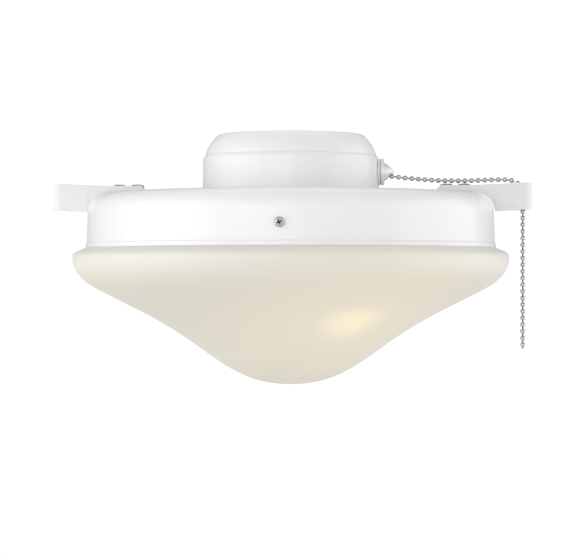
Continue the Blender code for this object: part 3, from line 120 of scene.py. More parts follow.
# Each finish: its sockets, its colour, the size and detail of the patches in which its colour and its
# roughness change, and for some a fine relief (grain, detail, height, strength)
looks = {
    # baked white enamel on pressed steel: smooth, softly glossy, with a faint orange peel
    "bakedEnamel": {
        "sockets": {"IOR": 1.5, "Coat Weight": 0.25, "Coat Roughness": 0.12},
        "color": "#EEEEEE",
        "patchColor": "#EAEAEB",
        "patch": 38 * mm,
        "detail": 2,
        "roughness": (0.27, 0.36),
        "relief": (1.6 * mm, 2, 0.006 * mm, 0.6),
    },
    # the arms' enamel: duller than the spun shells, its colour a little greyer as painted shade
    "dullEnamelPaintedShade": {
        "sockets": {"IOR": 1.5},
        "color": "#E6E6E6",
        "patchColor": "#E2E2E2",
        "patch": 38 * mm,
        "detail": 2,
        "roughness": (0.5, 0.6),
        "relief": (1.6 * mm, 2, 0.006 * mm, 0.6),
    },
    # nickel plate on drawn brass: bright grey, a little dulled by handling, darker where it turns away
    "nickelPlate": {
        "sockets": {"Metallic": 1, "Specular Tint": hexColor("#525150")},
        "color": "#CFCECC",
        "patchColor": "#AEADAB",
        "patch": 2.5 * mm,
        "detail": 4,
        "roughness": (0.12, 0.26),
    },
    # silver lacquer on the nozzle: metal flake in a clear binder, a soft pale grey
    "silverLacquer": {
        "sockets": {"Metallic": 0.45},
        "color": "#E6E6E7",
        "patch": 0.3 * mm,
        "detail": 3,
        "roughness": (0.36, 0.48),
        "relief": (0.3 * mm, 3, 0.006 * mm, 0.3),
    },
    # tumbled zinc plate on the arms' screws: satin grey
    "satinZinc": {
        "sockets": {"Metallic": 0.65},
        "color": "#B2B1B0",
        "patch": 0.8 * mm,
        "detail": 4,
        "roughness": (0.3, 0.44),
    },
    # plated steel of the glass screws: a lighter grey, faintly warm
    "platedSteel": {
        "sockets": {"Metallic": 0.8},
        "color": "#BDB8B5",
        "patch": 0.8 * mm,
        "detail": 4,
        "roughness": (0.32, 0.46),
    },
    # drawn steel wire between the beads: dull and darker than they are
    "dullSteel": {
        "sockets": {"Metallic": 0.8},
        "color": "#8C8987",
        "patch": 0.8 * mm,
        "detail": 4,
        "roughness": (0.32, 0.46),
    },
    # painted shade in the screws' crosses: dark, rough steel that stands in for the shade in the recess
    "recessPaintedShade": {
        "sockets": {"Metallic": 0.6},
        "color": "#5C5552",
        "patch": 0.8 * mm,
        "detail": 4,
        "roughness": (0.5, 0.65),
    },
    # zinc plate on pressed steel: bluish grey, with a fine mottled bloom
    "zincPlate": {
        "sockets": {"Metallic": 1},
        "color": "#AEB4BA",
        "patchColor": "#8E959B",
        "patch": 1.2 * mm,
        "detail": 5,
        "roughness": (0.34, 0.55),
    },
    # drawn brass: yellow, with dull patches where it has tarnished
    "drawnBrass": {
        "sockets": {"Metallic": 1},
        "color": "#D2AC62",
        "patchColor": "#A9824A",
        "patch": 3 * mm,
        "detail": 4,
        "roughness": (0.25, 0.42),
    },
    # lamp glass, frosted inside: a smooth skin over a warm white that glows
    "frostedLampGlass": {
        "sockets": {
            "IOR": 1.5, "Subsurface Weight": 0.3, "Subsurface Scale": 3 * mm,
            "Emission Color": hexColor("#FFE3B0"), "Emission Strength": 0.6,
        },
        "color": "#F7F0DC",
        "patch": 4 * mm,
        "detail": 2,
        "roughness": (0.18, 0.28),
    },
    # moulded phenolic: near black, faintly brown, with the flow marks of the mould
    "mouldedPhenolic": {
        "sockets": {"IOR": 1.5},
        "color": "#2A2522",
        "patchColor": "#1D1A18",
        "patch": 5 * mm,
        "detail": 3,
        "roughness": (0.32, 0.45),
    },
    # moulded natural nylon: milky, slightly translucent, softly glossy
    "naturalNylon": {
        "sockets": {"IOR": 1.53, "Subsurface Weight": 0.2, "Subsurface Scale": 2 * mm},
        "color": "#DDDBD0",
        "patch": 3 * mm,
        "detail": 2,
        "roughness": (0.36, 0.48),
    },
    # extruded wire jacket: soft grey plastic, dull, its dullness a little uneven
    "greyWireJacket": {
        "sockets": {"IOR": 1.5},
        "color": "#C9C9C5",
        "patch": 1.5 * mm,
        "detail": 2,
        "roughness": (0.42, 0.58),
    },
    # the same plastic in black
    "blackWireJacket": {
        "sockets": {"IOR": 1.5},
        "color": "#1B1B1C",
        "patch": 1.5 * mm,
        "detail": 2,
        "roughness": (0.42, 0.58),
    },
}


def makeFinish(name, look):
    made, tree, shader = newMaterial(name, look["sockets"])
    color = hexColor(look["color"])
    patches = surfaceNoise(tree, look["patch"], look["detail"])
    if "patchColor" in look:
        tint = addNode(tree, "ShaderNodeMix", {"data_type": "RGBA"}, {
            0: patches.outputs[0], 6: hexColor(look["patchColor"]), 7: color})
        tree.links.new(tint.outputs[2], shader.inputs["Base Color"])
    else:
        shader.inputs["Base Color"].default_value = color
    smooth, rough = look["roughness"]
    dullness = addNode(tree, "ShaderNodeMapRange", None, {
        "Value": patches.outputs[0], "To Min": smooth, "To Max": rough})
    tree.links.new(dullness.outputs[0], shader.inputs["Roughness"])
    if "relief" in look:
        grain, detail, height, strength = look["relief"]
        bump = addNode(tree, "ShaderNodeBump", None, {
            "Height": surfaceNoise(tree, grain, detail).outputs[0], "Strength": strength, "Distance": height})
        tree.links.new(bump.outputs[0], shader.inputs["Normal"])
    return made


# Blown opal glass with an etched face: warm white, painted lighter at the shoulder as a painted sheen;
# light spreads in it, and painted warm glow spots stand for the lit bulbs showing through
opal = {
    "sockets": {
        "IOR": 1.5, "Subsurface Weight": 0.25, "Subsurface Scale": 5 * mm, "Subsurface Radius": (1, 0.9, 0.7),
        "Emission Color": hexColor("#FFD992"),
    },
    "color": "#D8D6CD",
    "patchColor": "#D9D2C1",
    "patch": 90 * mm,
    "patchDetail": 2,
    "paintedShoulderLight": "#DEDCD4",
    "shoulderFrom": -98 * mm,
    "shoulderTo": -77 * mm,
    "roughness": (0.38, 0.5),
    "etch": (0.5 * mm, 3, 0.004 * mm, 0.4),  # grain, detail, height, strength
    # the glow is painted on the glass as emission, in place of the bulbs' light passing through it
    "glow": ((32 * mm, 0.17), (125 * mm, 0.115)),  # radius and strength of the spot and of its halo
    "glowReach": 87 * mm,
    "glowHeight": -120.8 * mm,
    "glowAzimuths": (-60.1, 119.9),
}


def paintedGlowAt(tree, azimuth):
    # a painted warm glow spot where the glass passes closest to a bulb
    turn = Matrix.Rotation(math.radians(azimuth), 3, "Z")
    centre = turn @ Vector((opal["glowReach"], 0, opal["glowHeight"]))
    place = addNode(tree, "ShaderNodeTexCoord")
    away = addNode(tree, "ShaderNodeVectorMath", {"operation": "DISTANCE"}, {
        0: place.outputs["Object"], 1: centre})
    spot, halo = [
        addNode(tree, "ShaderNodeMapRange", {"interpolation_type": "SMOOTHERSTEP"}, {
            "Value": away.outputs["Value"], "From Min": 0, "From Max": radius,
            "To Min": strength, "To Max": 0})
        for radius, strength in opal["glow"]
    ]
    return addNode(tree, "ShaderNodeMath", {"operation": "ADD"}, {0: spot.outputs[0], 1: halo.outputs[0]})


def makeOpal():
    made, tree, shader = newMaterial("etchedOpalGlass", opal["sockets"])
    patches = surfaceNoise(tree, opal["patch"], opal["patchDetail"])
    tint = addNode(tree, "ShaderNodeMix", {"data_type": "RGBA"}, {
        0: patches.outputs[0], 6: hexColor(opal["patchColor"]), 7: hexColor(opal["color"])})
    # the base colour is painted lighter on the shoulder band, a painted sheen
    place = addNode(tree, "ShaderNodeTexCoord")
    split = addNode(tree, "ShaderNodeSeparateXYZ", None, {0: place.outputs["Object"]})
    height = addNode(tree, "ShaderNodeMapRange", {"interpolation_type": "SMOOTHSTEP"}, {
        "Value": split.outputs["Z"], "From Min": opal["shoulderFrom"], "From Max": opal["shoulderTo"]})
    shoulderLightTint = addNode(tree, "ShaderNodeMix", {"data_type": "RGBA"}, {
        0: height.outputs[0], 6: tint.outputs[2], 7: hexColor(opal["paintedShoulderLight"])})
    tree.links.new(shoulderLightTint.outputs[2], shader.inputs["Base Color"])
    grain, detail, depth, strength = opal["etch"]
    etch = surfaceNoise(tree, grain, detail)
    smooth, rough = opal["roughness"]
    dullness = addNode(tree, "ShaderNodeMapRange", None, {
        "Value": etch.outputs[0], "To Min": smooth, "To Max": rough})
    tree.links.new(dullness.outputs[0], shader.inputs["Roughness"])
    bump = addNode(tree, "ShaderNodeBump", None, {
        "Height": etch.outputs[0], "Strength": strength, "Distance": depth})
    tree.links.new(bump.outputs[0], shader.inputs["Normal"])
    # the glass itself glows here: painted glow from the bulbs, put on as emission
    front, back = [paintedGlowAt(tree, azimuth) for azimuth in opal["glowAzimuths"]]
    both = addNode(tree, "ShaderNodeMath", {"operation": "ADD"}, {0: front.outputs[0], 1: back.outputs[0]})
    tree.links.new(both.outputs[0], shader.inputs["Emission Strength"])
    return made


materials = {name: makeFinish(name, look) for name, look in looks.items()}
slotMaterials = {
    "white_enamel": materials["bakedEnamel"],
    "nickel": materials["nickelPlate"],
    "zinc_steel": materials["zincPlate"],
    "brass": materials["drawnBrass"],
    "frosted_glass": makeOpal(),
    "bulb_glass": materials["frostedLampGlass"],
    "phenolic": materials["mouldedPhenolic"],
    "nylon": materials["naturalNylon"],
    "lead_jacket": materials["greyWireJacket"],
    "lead_black": materials["blackWireJacket"],
}
for part in frame["record"]["subparts"]:
    node = frame["nodes"][part["node"]]
    node.data.materials.clear()
    node.data.materials.append(slotMaterials[part["material_slot"]])
print("materials ready")


# Shapes that several pieces use
shellFaces = 192
mergeDistance = 0.001 * mm
sharpAngle = 35  # degrees, past which an edge isn't shaded smooth


def addPiece(name, shape, slot, stands=(), material=None, body="light_kit", sharp=sharpAngle):
    # material is for a piece whose own finish differs from its slot's
    bmesh.ops.remove_doubles(shape, verts=shape.verts, dist=mergeDistance)
    bmesh.ops.recalc_face_normals(shape, faces=shape.faces)
    mesh = bpy.data.meshes.new(name)
    shape.to_mesh(mesh)
    shape.free()
    mesh.shade_smooth()
    mesh.set_sharp_from_angle(angle=math.radians(sharp))
    mesh.materials.append(material or slotMaterials[slot])
    piece = bpy.data.objects.new(name, mesh)
    bpy.context.scene.collection.objects.link(piece)
    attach(piece, body)
    if stands:
        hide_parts(*stands)
    return piece


def spinOutline(outline, faces, place=None):
    # a closed outline of (radius, height) turned round the Z axis, then put in its place
    shape = bmesh.new()
    corners = [shape.verts.new((radius, 0, height)) for radius, height in outline]
    for here, after in zip(corners, corners[1:] + corners[:1]):
        if here.co.x > 0 or after.co.x > 0:
            shape.edges.new((here, after))
    bmesh.ops.spin(
        shape, geom=shape.verts[:] + shape.edges[:], cent=(0, 0, 0), axis=(0, 0, 1),
        angle=math.tau, steps=faces, use_merge=True)
    bmesh.ops.remove_doubles(shape, verts=shape.verts, dist=mergeDistance)
    if place:
        bmesh.ops.transform(shape, verts=shape.verts, matrix=place)
    return shape


def arcPoints(centre, radius, start, end, steps):
    # start and end are in degrees, turning from outwards to upwards
    angles = [math.radians(start + (end - start) * step / steps) for step in range(steps + 1)]
    return [(centre[0] + radius * math.cos(a), centre[1] + radius * math.sin(a)) for a in angles]


def curvePoints(start, startHandle, endHandle, end, steps):
    # a smooth curve from start to end, pulled towards the two handles
    points = []
    for step in range(steps + 1):
        t = step / steps
        weights = ((1 - t) ** 3, 3 * (1 - t) ** 2 * t, 3 * (1 - t) * t ** 2, t ** 3)
        ends = (start, startHandle, endHandle, end)
        points.append(tuple(sum(w * p[i] for w, p in zip(weights, ends)) for i in (0, 1)))
    return points


def offsetPath(path, distance):
    # the path moved to its right, with mitred corners
    moved = []
    for index, point in enumerate(path):
        here = Vector(point)
        before = (here - Vector(path[index - 1])).normalized() if index else None
        after = (Vector(path[index + 1]) - here).normalized() if index + 1 < len(path) else None
        before, after = before or after, after or before
        across = (Vector((before.y, -before.x)) + Vector((after.y, -after.x))).normalized()
        moved.append(tuple(here + across * (distance / across.dot(Vector((after.y, -after.x))))))
    return moved


def around(degrees, reach, height):
    # a place at this reach whose own Z points away from the axis
    turn = Matrix.Rotation(math.radians(degrees), 4, "Z")
    return turn @ Matrix.Translation((reach, 0, height)) @ Matrix.Rotation(math.pi / 2, 4, "Y")


def drillShape(shape, place, radius, low, high, faces=40):
    # a round bar along the place's own Z, for a hole to be cut with
    middle = Matrix.Translation((0, 0, (low + high) / 2))
    bmesh.ops.create_cone(
        shape, cap_ends=True, segments=faces, radius1=radius, radius2=radius,
        depth=high - low, matrix=place @ middle)


def carve(piece, cutter, material=None):
    # cut a shape out of a piece for good; a material of its own goes on the cut faces
    bmesh.ops.recalc_face_normals(cutter, faces=cutter.faces)
    mesh = bpy.data.meshes.new("cutter")
    cutter.to_mesh(mesh)
    cutter.free()
    if material:
        mesh.materials.append(material)
    tool = bpy.data.objects.new("cutter", mesh)
    bpy.context.scene.collection.objects.link(tool)
    step = piece.modifiers.new("carve", "BOOLEAN")
    step.operation = "DIFFERENCE"
    step.solver = "EXACT"
    step.object = tool
    if material:
        step.material_mode = "TRANSFER"
    seen = piece.evaluated_get(bpy.context.evaluated_depsgraph_get())
    cut = bpy.data.meshes.new_from_object(seen)
    piece.modifiers.remove(step)
    piece.data = cut
    bpy.data.objects.remove(tool)
    cut.set_sharp_from_angle(angle=math.radians(sharpAngle))


# The chain: nickel beads on a wire, from the switch's pulley over the arm's eye and down
chain = {
    "beadRadius": 1.6 * mm,
    "beadFaces": 18,
    "beadRings": 12,
    "mouthShare": 0.93,  # of the bead's radius, where its rolled-in mouths begin
    "pitch": 4.265 * mm,
    "linkRadius": 0.46 * mm,
    "linkFaces": 10,
    "tailShare": 0.15,  # of the pitch, the bare wire under the last bead
    "cornerStartShare": 0.2,  # of the pitch, left open before the corner's wire
    "joinOpen": 0.23 * mm,  # left open at each join, so that the lengths can turn on one another
    "lineSteps": 60,
    # node, body, beads, pitch and gap before it as shares of the full pitch
    "lengths": (
        ("chain_run", "chain_feed", 24, 1.0, 0.0),
        ("chain_corner", "chain_pull", 5, 0.889, 0.06),
        ("chain_drop", "chain_drop", 21, 1.0, 0.0),
    ),
    "routeSteps": 12,
    # x and z of points on the line of the beads' middles, in metres
    "route": (
        (0.0418, -0.0270), (0.0500, -0.0270), (0.0600, -0.0270), (0.0656, -0.0271),
        (0.0735, -0.0281), (0.0859, -0.0292), (0.0960, -0.0298), (0.1060, -0.0300),
        (0.1160, -0.0299), (0.1260, -0.0296), (0.1340, -0.0294), (0.1396, -0.0295),
        (0.1440, -0.0306), (0.1475, -0.0335), (0.1490, -0.0375), (0.1490, -0.0430),
        (0.1490, -0.0500), (0.1490, -0.0600), (0.1490, -0.0800), (0.1490, -0.1000),
        (0.1490, -0.1200), (0.1490, -0.1400),
    ),
}


def smoothRoute():
    steps = chain["routeSteps"]
    knots = [Vector((x, 0, z)) for x, z in chain["route"]]
    padded = [knots[0] * 2 - knots[1]] + knots + [knots[-1] * 2 - knots[-2]]
    points = []
    for a, b, c, d in zip(padded, padded[1:], padded[2:], padded[3:]):
        for step in range(steps):
            t = step / steps
            bend = (
                b * 2 + (c - a) * t + (a * 2 - b * 5 + c * 4 - d) * t ** 2
                + (b * 3 - a - c * 3 + d) * t ** 3)
            points.append(bend / 2)
    return points + [knots[-1]]


def pointsAt(points, distances):
    # points at these distances along the line, the distances rising
    found = []
    travelled, index = 0, 0
    for distance in distances:
        step = (points[index + 1] - points[index]).length
        while index < len(points) - 2 and travelled + step < distance:
            travelled += step
            index += 1
            step = (points[index + 1] - points[index]).length
        found.append(points[index].lerp(points[index + 1], (distance - travelled) / step))
    return found


def addLink(shape, start, end):
    # a short length of wire from one point to another
    line = end - start
    turn = line.to_track_quat("Z", "Y").to_matrix().to_4x4()
    bmesh.ops.create_cone(
        shape, cap_ends=True, segments=chain["linkFaces"], radius1=chain["linkRadius"],
        radius2=chain["linkRadius"], depth=line.length,
        matrix=Matrix.Translation((start + end) / 2) @ turn)


def addBead(shape, centre, heading):
    turn = heading.to_track_quat("Z", "Y").to_matrix().to_4x4()
    made = bmesh.ops.create_uvsphere(
        shape, u_segments=chain["beadFaces"], v_segments=chain["beadRings"],
        radius=chain["beadRadius"], matrix=Matrix.Translation(centre) @ turn)
    # the rolled-in mouths at both ends, where the wire comes out
    reach = chain["beadRadius"] * chain["mouthShare"]
    for vert in made["verts"]:
        along = (vert.co - centre).dot(heading)
        if abs(along) > reach:
            vert.co -= heading * (along - math.copysign(reach * chain["mouthShare"], along))


def makeChain():
    # each length's piece, with the line that it follows
    route = smoothRoute()
    made = {}
    start = 0
    for node, body, beads, pitchShare, openShare in chain["lengths"]:
        pitch = chain["pitch"] * pitchShare
        start += chain["pitch"] * openShare
        end = start + beads * pitch
        tail = chain["pitch"] * chain["tailShare"] if node == "chain_drop" else -chain["joinOpen"]
        first = start + (pitch * chain["cornerStartShare"] if openShare else chain["joinOpen"])
        centres = [start + (bead + 0.5) * pitch for bead in range(beads)]
        shape = bmesh.new()
        stops = pointsAt(route, [first] + centres + [end + tail])
        for here, after in zip(stops, stops[1:]):
            addLink(shape, here, after)
        for face in shape.faces:
            face.material_index = 1
        for before, centre, after in zip(stops, stops[1:], stops[2:]):
            addBead(shape, centre, (after - before).normalized())
        piece = addPiece(node.replace("_", "") + "Beads", shape, "nickel", (node,), body=body)
        piece.data.materials.append(materials["dullSteel"])
        span = centres[-1] + chain["beadRadius"] - first
        steps = chain["lineSteps"]
        made[node] = piece, pointsAt(route, [first + span * step / steps for step in range(steps + 1)])
        start = end
    return made


def stringChain():
    made = makeChain()


# Collar: a pressed ring with a flat seat, keyholes for the fan's screws and a skirt inside the housing
collar = {
    "wall": 1.0 * mm,
    "opening": 27.97 * mm,
    "flat": 44.77 * mm,
    "edgeRound": 4.0 * mm,
    "edgeTurn": 40,  # degrees, as every turn here
    "crownRound": 24 * mm,
    "crownTurn": 76,
    "skirt": 1.8 * mm,
    "keyholes": 3,
    "keyholeCircle": 37.02 * mm,
    "keyholeHead": 4.2 * mm,
    "keyholeSlot": 2.3 * mm,
    "keyholeTurn": 8,
    "barScrewReach": 35.27 * mm,
    "barScrewHole": 2.05 * mm,
}
edgeCentre = (collar["flat"], -collar["edgeRound"])
crownReach = collar["crownRound"] - collar["edgeRound"]
crownCentre = (
    edgeCentre[0] - crownReach * math.sin(math.radians(collar["edgeTurn"])),
    edgeCentre[1] - crownReach * math.cos(math.radians(collar["edgeTurn"])),
)
collarFoot = arcPoints(crownCentre, collar["crownRound"], 90, 90 - collar["crownTurn"], steps=1)[-1]


def makeCollar():
    wall = collar["wall"]
    edgeEnd, crownEnd = 90 - collar["edgeTurn"], 90 - collar["crownTurn"]
    skirt = collarFoot[0] + housing["lipStep"] - housing["wall"] - gap
    skirtFoot = collarFoot[1] - collar["skirt"]
    inner = collar["crownRound"] - wall
    innerEnd = math.degrees(math.acos((skirt - wall - crownCentre[0]) / inner))
    lip = wall / 2
    outline = arcPoints((collar["opening"] + lip, -lip), lip, 270, 90, steps=6)
    outline += arcPoints(edgeCentre, collar["edgeRound"], 90, edgeEnd, steps=8)
    outline += arcPoints(crownCentre, collar["crownRound"], edgeEnd, crownEnd, steps=20)[1:]
    outline += [(skirt, collarFoot[1] - gap), (skirt, skirtFoot), (skirt - wall, skirtFoot)]
    outline += arcPoints(crownCentre, inner, innerEnd, edgeEnd, steps=14)
    outline += [(collar["flat"], -wall)]
    shape = spinOutline(outline, shellFaces)
    piece = addPiece("collarShell", shape, "white_enamel", ("mounting_collar",))
    heads, slots = bmesh.new(), bmesh.new()
    for index in range(collar["keyholes"]):
        headTurn = index * 360 / collar["keyholes"]
        slotTurn = headTurn + collar["keyholeTurn"]
        for cutter, radius, turn in (
            (heads, collar["keyholeHead"], headTurn), (slots, collar["keyholeSlot"], slotTurn),
        ):
            place = Matrix.Rotation(math.radians(turn), 4, "Z")
            place = place @ Matrix.Translation((collar["keyholeCircle"], 0, 0))
            drillShape(cutter, place, radius, -2 * wall, wall)
    for side in (1, -1):
        place = Matrix.Translation((0, side * collar["barScrewReach"], 0))
        drillShape(heads, place, collar["barScrewHole"], -2 * wall, wall)
    carve(piece, heads)
    carve(piece, slots)


# Housing: a drawn cup whose rounded shoulder carries the collar
housing = {
    "wall": 1.0 * mm,
    "lipStep": 0.3 * mm,
    "radius": 56.5 * mm,
    "baseRadius": 56.8 * mm,
    "shoulderDrop": 1.8 * mm,
    "shoulderRound": 3 * mm,
    "cornerRound": 1.5 * mm,
    "depth": 37.9 * mm,
    "nozzleHole": 6.2 * mm,
}
# the holes that the housing's floor and the pan share
nippleHole = 5.3 * mm
wireHole = {"reach": 22 * mm, "azimuth": 34, "radius": 5.5 * mm}  # azimuth in degrees


def drillWireHole(shape, low, high):
    turn = Matrix.Rotation(math.radians(wireHole["azimuth"]), 4, "Z")
    place = turn @ Matrix.Translation((wireHole["reach"], 0, 0))
    drillShape(shape, place, wireHole["radius"], low, high)


def makeHousing():
    wall = housing["wall"]
    lip = collarFoot[0] + housing["lipStep"]
    mouth = collarFoot[1] - gap
    shoulder = mouth - housing["shoulderDrop"]
    rise = math.atan2(housing["shoulderDrop"], housing["radius"] - lip)
    tangent = housing["shoulderRound"] * math.tan((math.pi / 2 - rise) / 2)
    roundCentre = (housing["radius"] - housing["shoulderRound"], shoulder - tangent)
    corner = (housing["baseRadius"] - housing["cornerRound"], -housing["depth"] + housing["cornerRound"])
    outer = [(lip, mouth)]
    outer += arcPoints(roundCentre, housing["shoulderRound"], 90 - math.degrees(rise), 0, steps=8)
    outer += arcPoints(corner, housing["cornerRound"], 0, -90, steps=8)
    outer += [(nippleHole, -housing["depth"])]
    inner = offsetPath(outer, wall)
    inner[0] = (lip - wall, mouth)
    mouthRound = arcPoints((lip - wall / 2, mouth - wall / 4), wall / 2, 160, 20, steps=6)
    shape = spinOutline(mouthRound + outer[1:] + inner[:0:-1], shellFaces)
    piece = addPiece("housingShell", shape, "white_enamel", ("switch_housing",))
    holes = bmesh.new()
    drillWireHole(holes, -housing["depth"] - wall, -housing["depth"] + 3 * wall)
    place = around(0, housing["radius"], nozzle["height"])
    drillShape(holes, place, housing["nozzleHole"], -4 * wall, 3 * wall)
    carve(piece, holes)


# Pan: a spun dish with a deep round shoulder and a rolled rim
pan = {
    "wall": 1.0 * mm,
    "radius": 130.6 * mm,
    "shoulderRound": 12.2 * mm,
    "draft": 0.6 * mm,
    "depth": 34.8 * mm,
    "rimHeight": 2.2 * mm,
    "rimFlare": 0.7 * mm,
    "rimRise": 1.3 * mm,
    "rimRoll": 0.125 * mm,
    "top": -38.2 * mm,
}
panFlat = pan["radius"] - pan["shoulderRound"]
panFoot = pan["radius"] + pan["draft"]
panEdge = panFoot + pan["rimFlare"]
panRim = pan["top"] - pan["depth"]


def makePan():
    wall, roll = pan["wall"], pan["rimRoll"]
    shoulder = (panFlat, pan["top"] - pan["shoulderRound"])
    rimTop = panRim + pan["rimHeight"]
    flareTop, flareMiddle = rimTop + pan["rimRise"], rimTop + pan["rimRise"] / 2
    outer = [(nippleHole, pan["top"])]
    outer += arcPoints(shoulder, pan["shoulderRound"], 90, 0, steps=28)
    outer += curvePoints(
        (panFoot, flareTop), (panFoot, flareMiddle), (panEdge, flareMiddle), (panEdge, rimTop), steps=6)
    inner = offsetPath(outer, wall)
    edge = arcPoints((panEdge - roll, panRim + roll), roll, 0, -90, steps=6)
    edge += arcPoints((panEdge - wall + roll, panRim + roll), roll, -90, -180, steps=6)
    shape = spinOutline(outer + edge + inner[::-1], shellFaces)
    piece = addPiece("panShell", shape, "white_enamel", ("pan",))
    holes = bmesh.new()
    drillWireHole(holes, pan["top"] - 2 * wall, pan["top"] + wall)
    for x, y in armScrewPlaces():
        place = Matrix.Translation((x, y, 0))
        drillShape(holes, place, armScrew["shank"] + gap, pan["top"] - 2 * wall, pan["top"] + wall)
    for azimuth in glassScrewAngles():
        place = around(azimuth, pan["radius"], glassScrew["height"])
        drillShape(holes, place, glassScrew["shank"] + gap, -3 * wall, 2 * wall)
    carve(piece, holes)


def makeHoleRims():
    # a low rim is pressed up round each glass screw's hole
    hole, foot = glassScrew["shank"] + gap, -pan["wall"] / 2
    edge, high = glassScrew["rimRadius"], glassScrew["rimHeight"]
    outline = [(hole, high), (hole, foot), (edge, foot), (edge - glassScrew["rimSoft"], high)]
    for index, azimuth in enumerate(glassScrewAngles()):
        place = around(azimuth, pan["radius"], glassScrew["height"])
        addPiece(f"panHoleRim{index + 1}", spinOutline(outline, screwFaces, place), "white_enamel")


# Glass bowl: neck, rolled shoulder and an ogee down to a round tip
bowl = {
    "wall": 3.5 * mm,
    "neck": 122.4 * mm,
    "neckRound": 3.0 * mm,
    "lipFlare": 3.3 * mm,
    "lipHeight": 2.2 * mm,
    "lipRise": 1.2 * mm,
    "lipGap": 0.7 * mm,
    "seat": 0.03 * mm,
    "dip": 26,  # degrees that the shoulder falls where it leaves the pan
    "bulge": 9.9 * mm,
    "bulgeDrop": 6.1 * mm,
    "depth": 87.8 * mm,
    # shares of the bulge's radius and of the depth, and slopes in degrees, at two points of the ogee
    "upperShares": (0.819, 0.358),
    "lowerShares": (0.413, 0.737),
    "upperSlope": 27.5,
    "lowerSlope": 36.0,
    # each span's handles, as shares of its chord
    "handleShares": ((0.45, 0.34), (0.39, 0.34), (0.31, 0.48), (0.38, 0.40)),
    "steps": (12, 20, 16, 18),
    "sharp": 50,  # degrees
}


def headingAt(degrees):
    # a step of length 1 along the outline, turning from outwards to upwards
    return math.cos(math.radians(degrees)), math.sin(math.radians(degrees))


def bowlOutline():
    top = panRim - bowl["seat"]
    bulge = (pan["radius"] + bowl["bulge"], top - bowl["bulgeDrop"])
    upper, lower = [
        (bulge[0] * radiusShare, top - bowl["depth"] * dropShare)
        for radiusShare, dropShare in (bowl["upperShares"], bowl["lowerShares"])
    ]
    knots = [
        ((panEdge, top), headingAt(-bowl["dip"])),
        (bulge, (0, -1)),
        (upper, headingAt(180 + bowl["upperSlope"])),
        (lower, headingAt(180 + bowl["lowerSlope"])),
        ((0, top - bowl["depth"]), (-1, 0)),
    ]
    corner = (bowl["neck"] + bowl["neckRound"], top + bowl["neckRound"])
    points = arcPoints(corner, bowl["neckRound"], 180, 270, steps=8)
    spans = zip(knots, knots[1:], bowl["handleShares"], bowl["steps"])
    for index, ((start, heading), (end, arriving), shares, steps) in enumerate(spans):
        chord = math.dist(start, end)
        first = [start[i] + heading[i] * chord * shares[0] for i in (0, 1)]
        second = [end[i] - arriving[i] * chord * shares[1] for i in (0, 1)]
        span = curvePoints(start, first, second, end, steps)
        points += span[1:] if index else span
    return points


def makeBowl():
    lipLow = glassScrew["height"] + glassScrew["shank"] + bowl["lipGap"]
    lipEdge = lipLow + bowl["lipRise"]
    lip = bowl["neck"] + bowl["lipFlare"]
    below = bowlOutline()
    inner = offsetPath(below, bowl["wall"])
    inner[-1] = (0, below[-1][1] + bowl["wall"])
    radius = bowl["lipHeight"] / 2
    outline = arcPoints((lip - radius, lipEdge + radius), radius, 180, -20, steps=12)
    outline += [(bowl["neck"], lipLow)] + below + inner[::-1]
    outline += [(bowl["neck"] - bowl["wall"], lipLow)]
    shape = spinOutline(outline, shellFaces)
    addPiece("bowlGlass", shape, "frosted_glass", ("glass_bowl",), sharp=bowl["sharp"])


# Arms: a strap on edge, folded out into a foot and curled into an eye at its tip
arm = {
    "thickness": 1.5 * mm,
    "eyeStandoff": 18.4 * mm,
    "eyeRadius": 5.7 * mm,
    "eyeLength": 12.8 * mm,
    "eyeCorner": 3.2 * mm,
    "eyeSlit": 0.5 * mm,
    "tipTopRise": 7.0 * mm,
    "tipBottomDrop": 10.2 * mm,
    "innerTopRise": 5.3 * mm,
    "innerBottomDrop": 11.7 * mm,
    "notchStart": 0.30 * mm,
    "notchGap": 0.75 * mm,
    "notchSteps": 16,
    "endSlope": 3.0 * mm,
    "footWidth": 14.5 * mm,
    "footLength": 24 * mm,
    "footInset": 1.0 * mm,
    "footCorner": 3.6 * mm,
    "bend": 0.9 * mm,
    "bendSteps": 5,
    "edgeRound": 0.22 * mm,
    "edgeAngle": 40,  # degrees, from which an edge is rounded
    "sharp": 40,
}


def armHeights(x):
    tip = pan["radius"] + arm["eyeStandoff"] + arm["eyeRadius"]
    share = max(0, x - panFlat) / (tip - panFlat)
    top = pan["top"] + arm["innerTopRise"] + share * (arm["tipTopRise"] - arm["innerTopRise"])
    inner = pan["radius"] + arm["notchGap"]
    share = max(0, x - inner) / (tip - inner)
    low = pan["top"] - arm["innerBottomDrop"] + share * (arm["innerBottomDrop"] - arm["tipBottomDrop"])
    return low, top


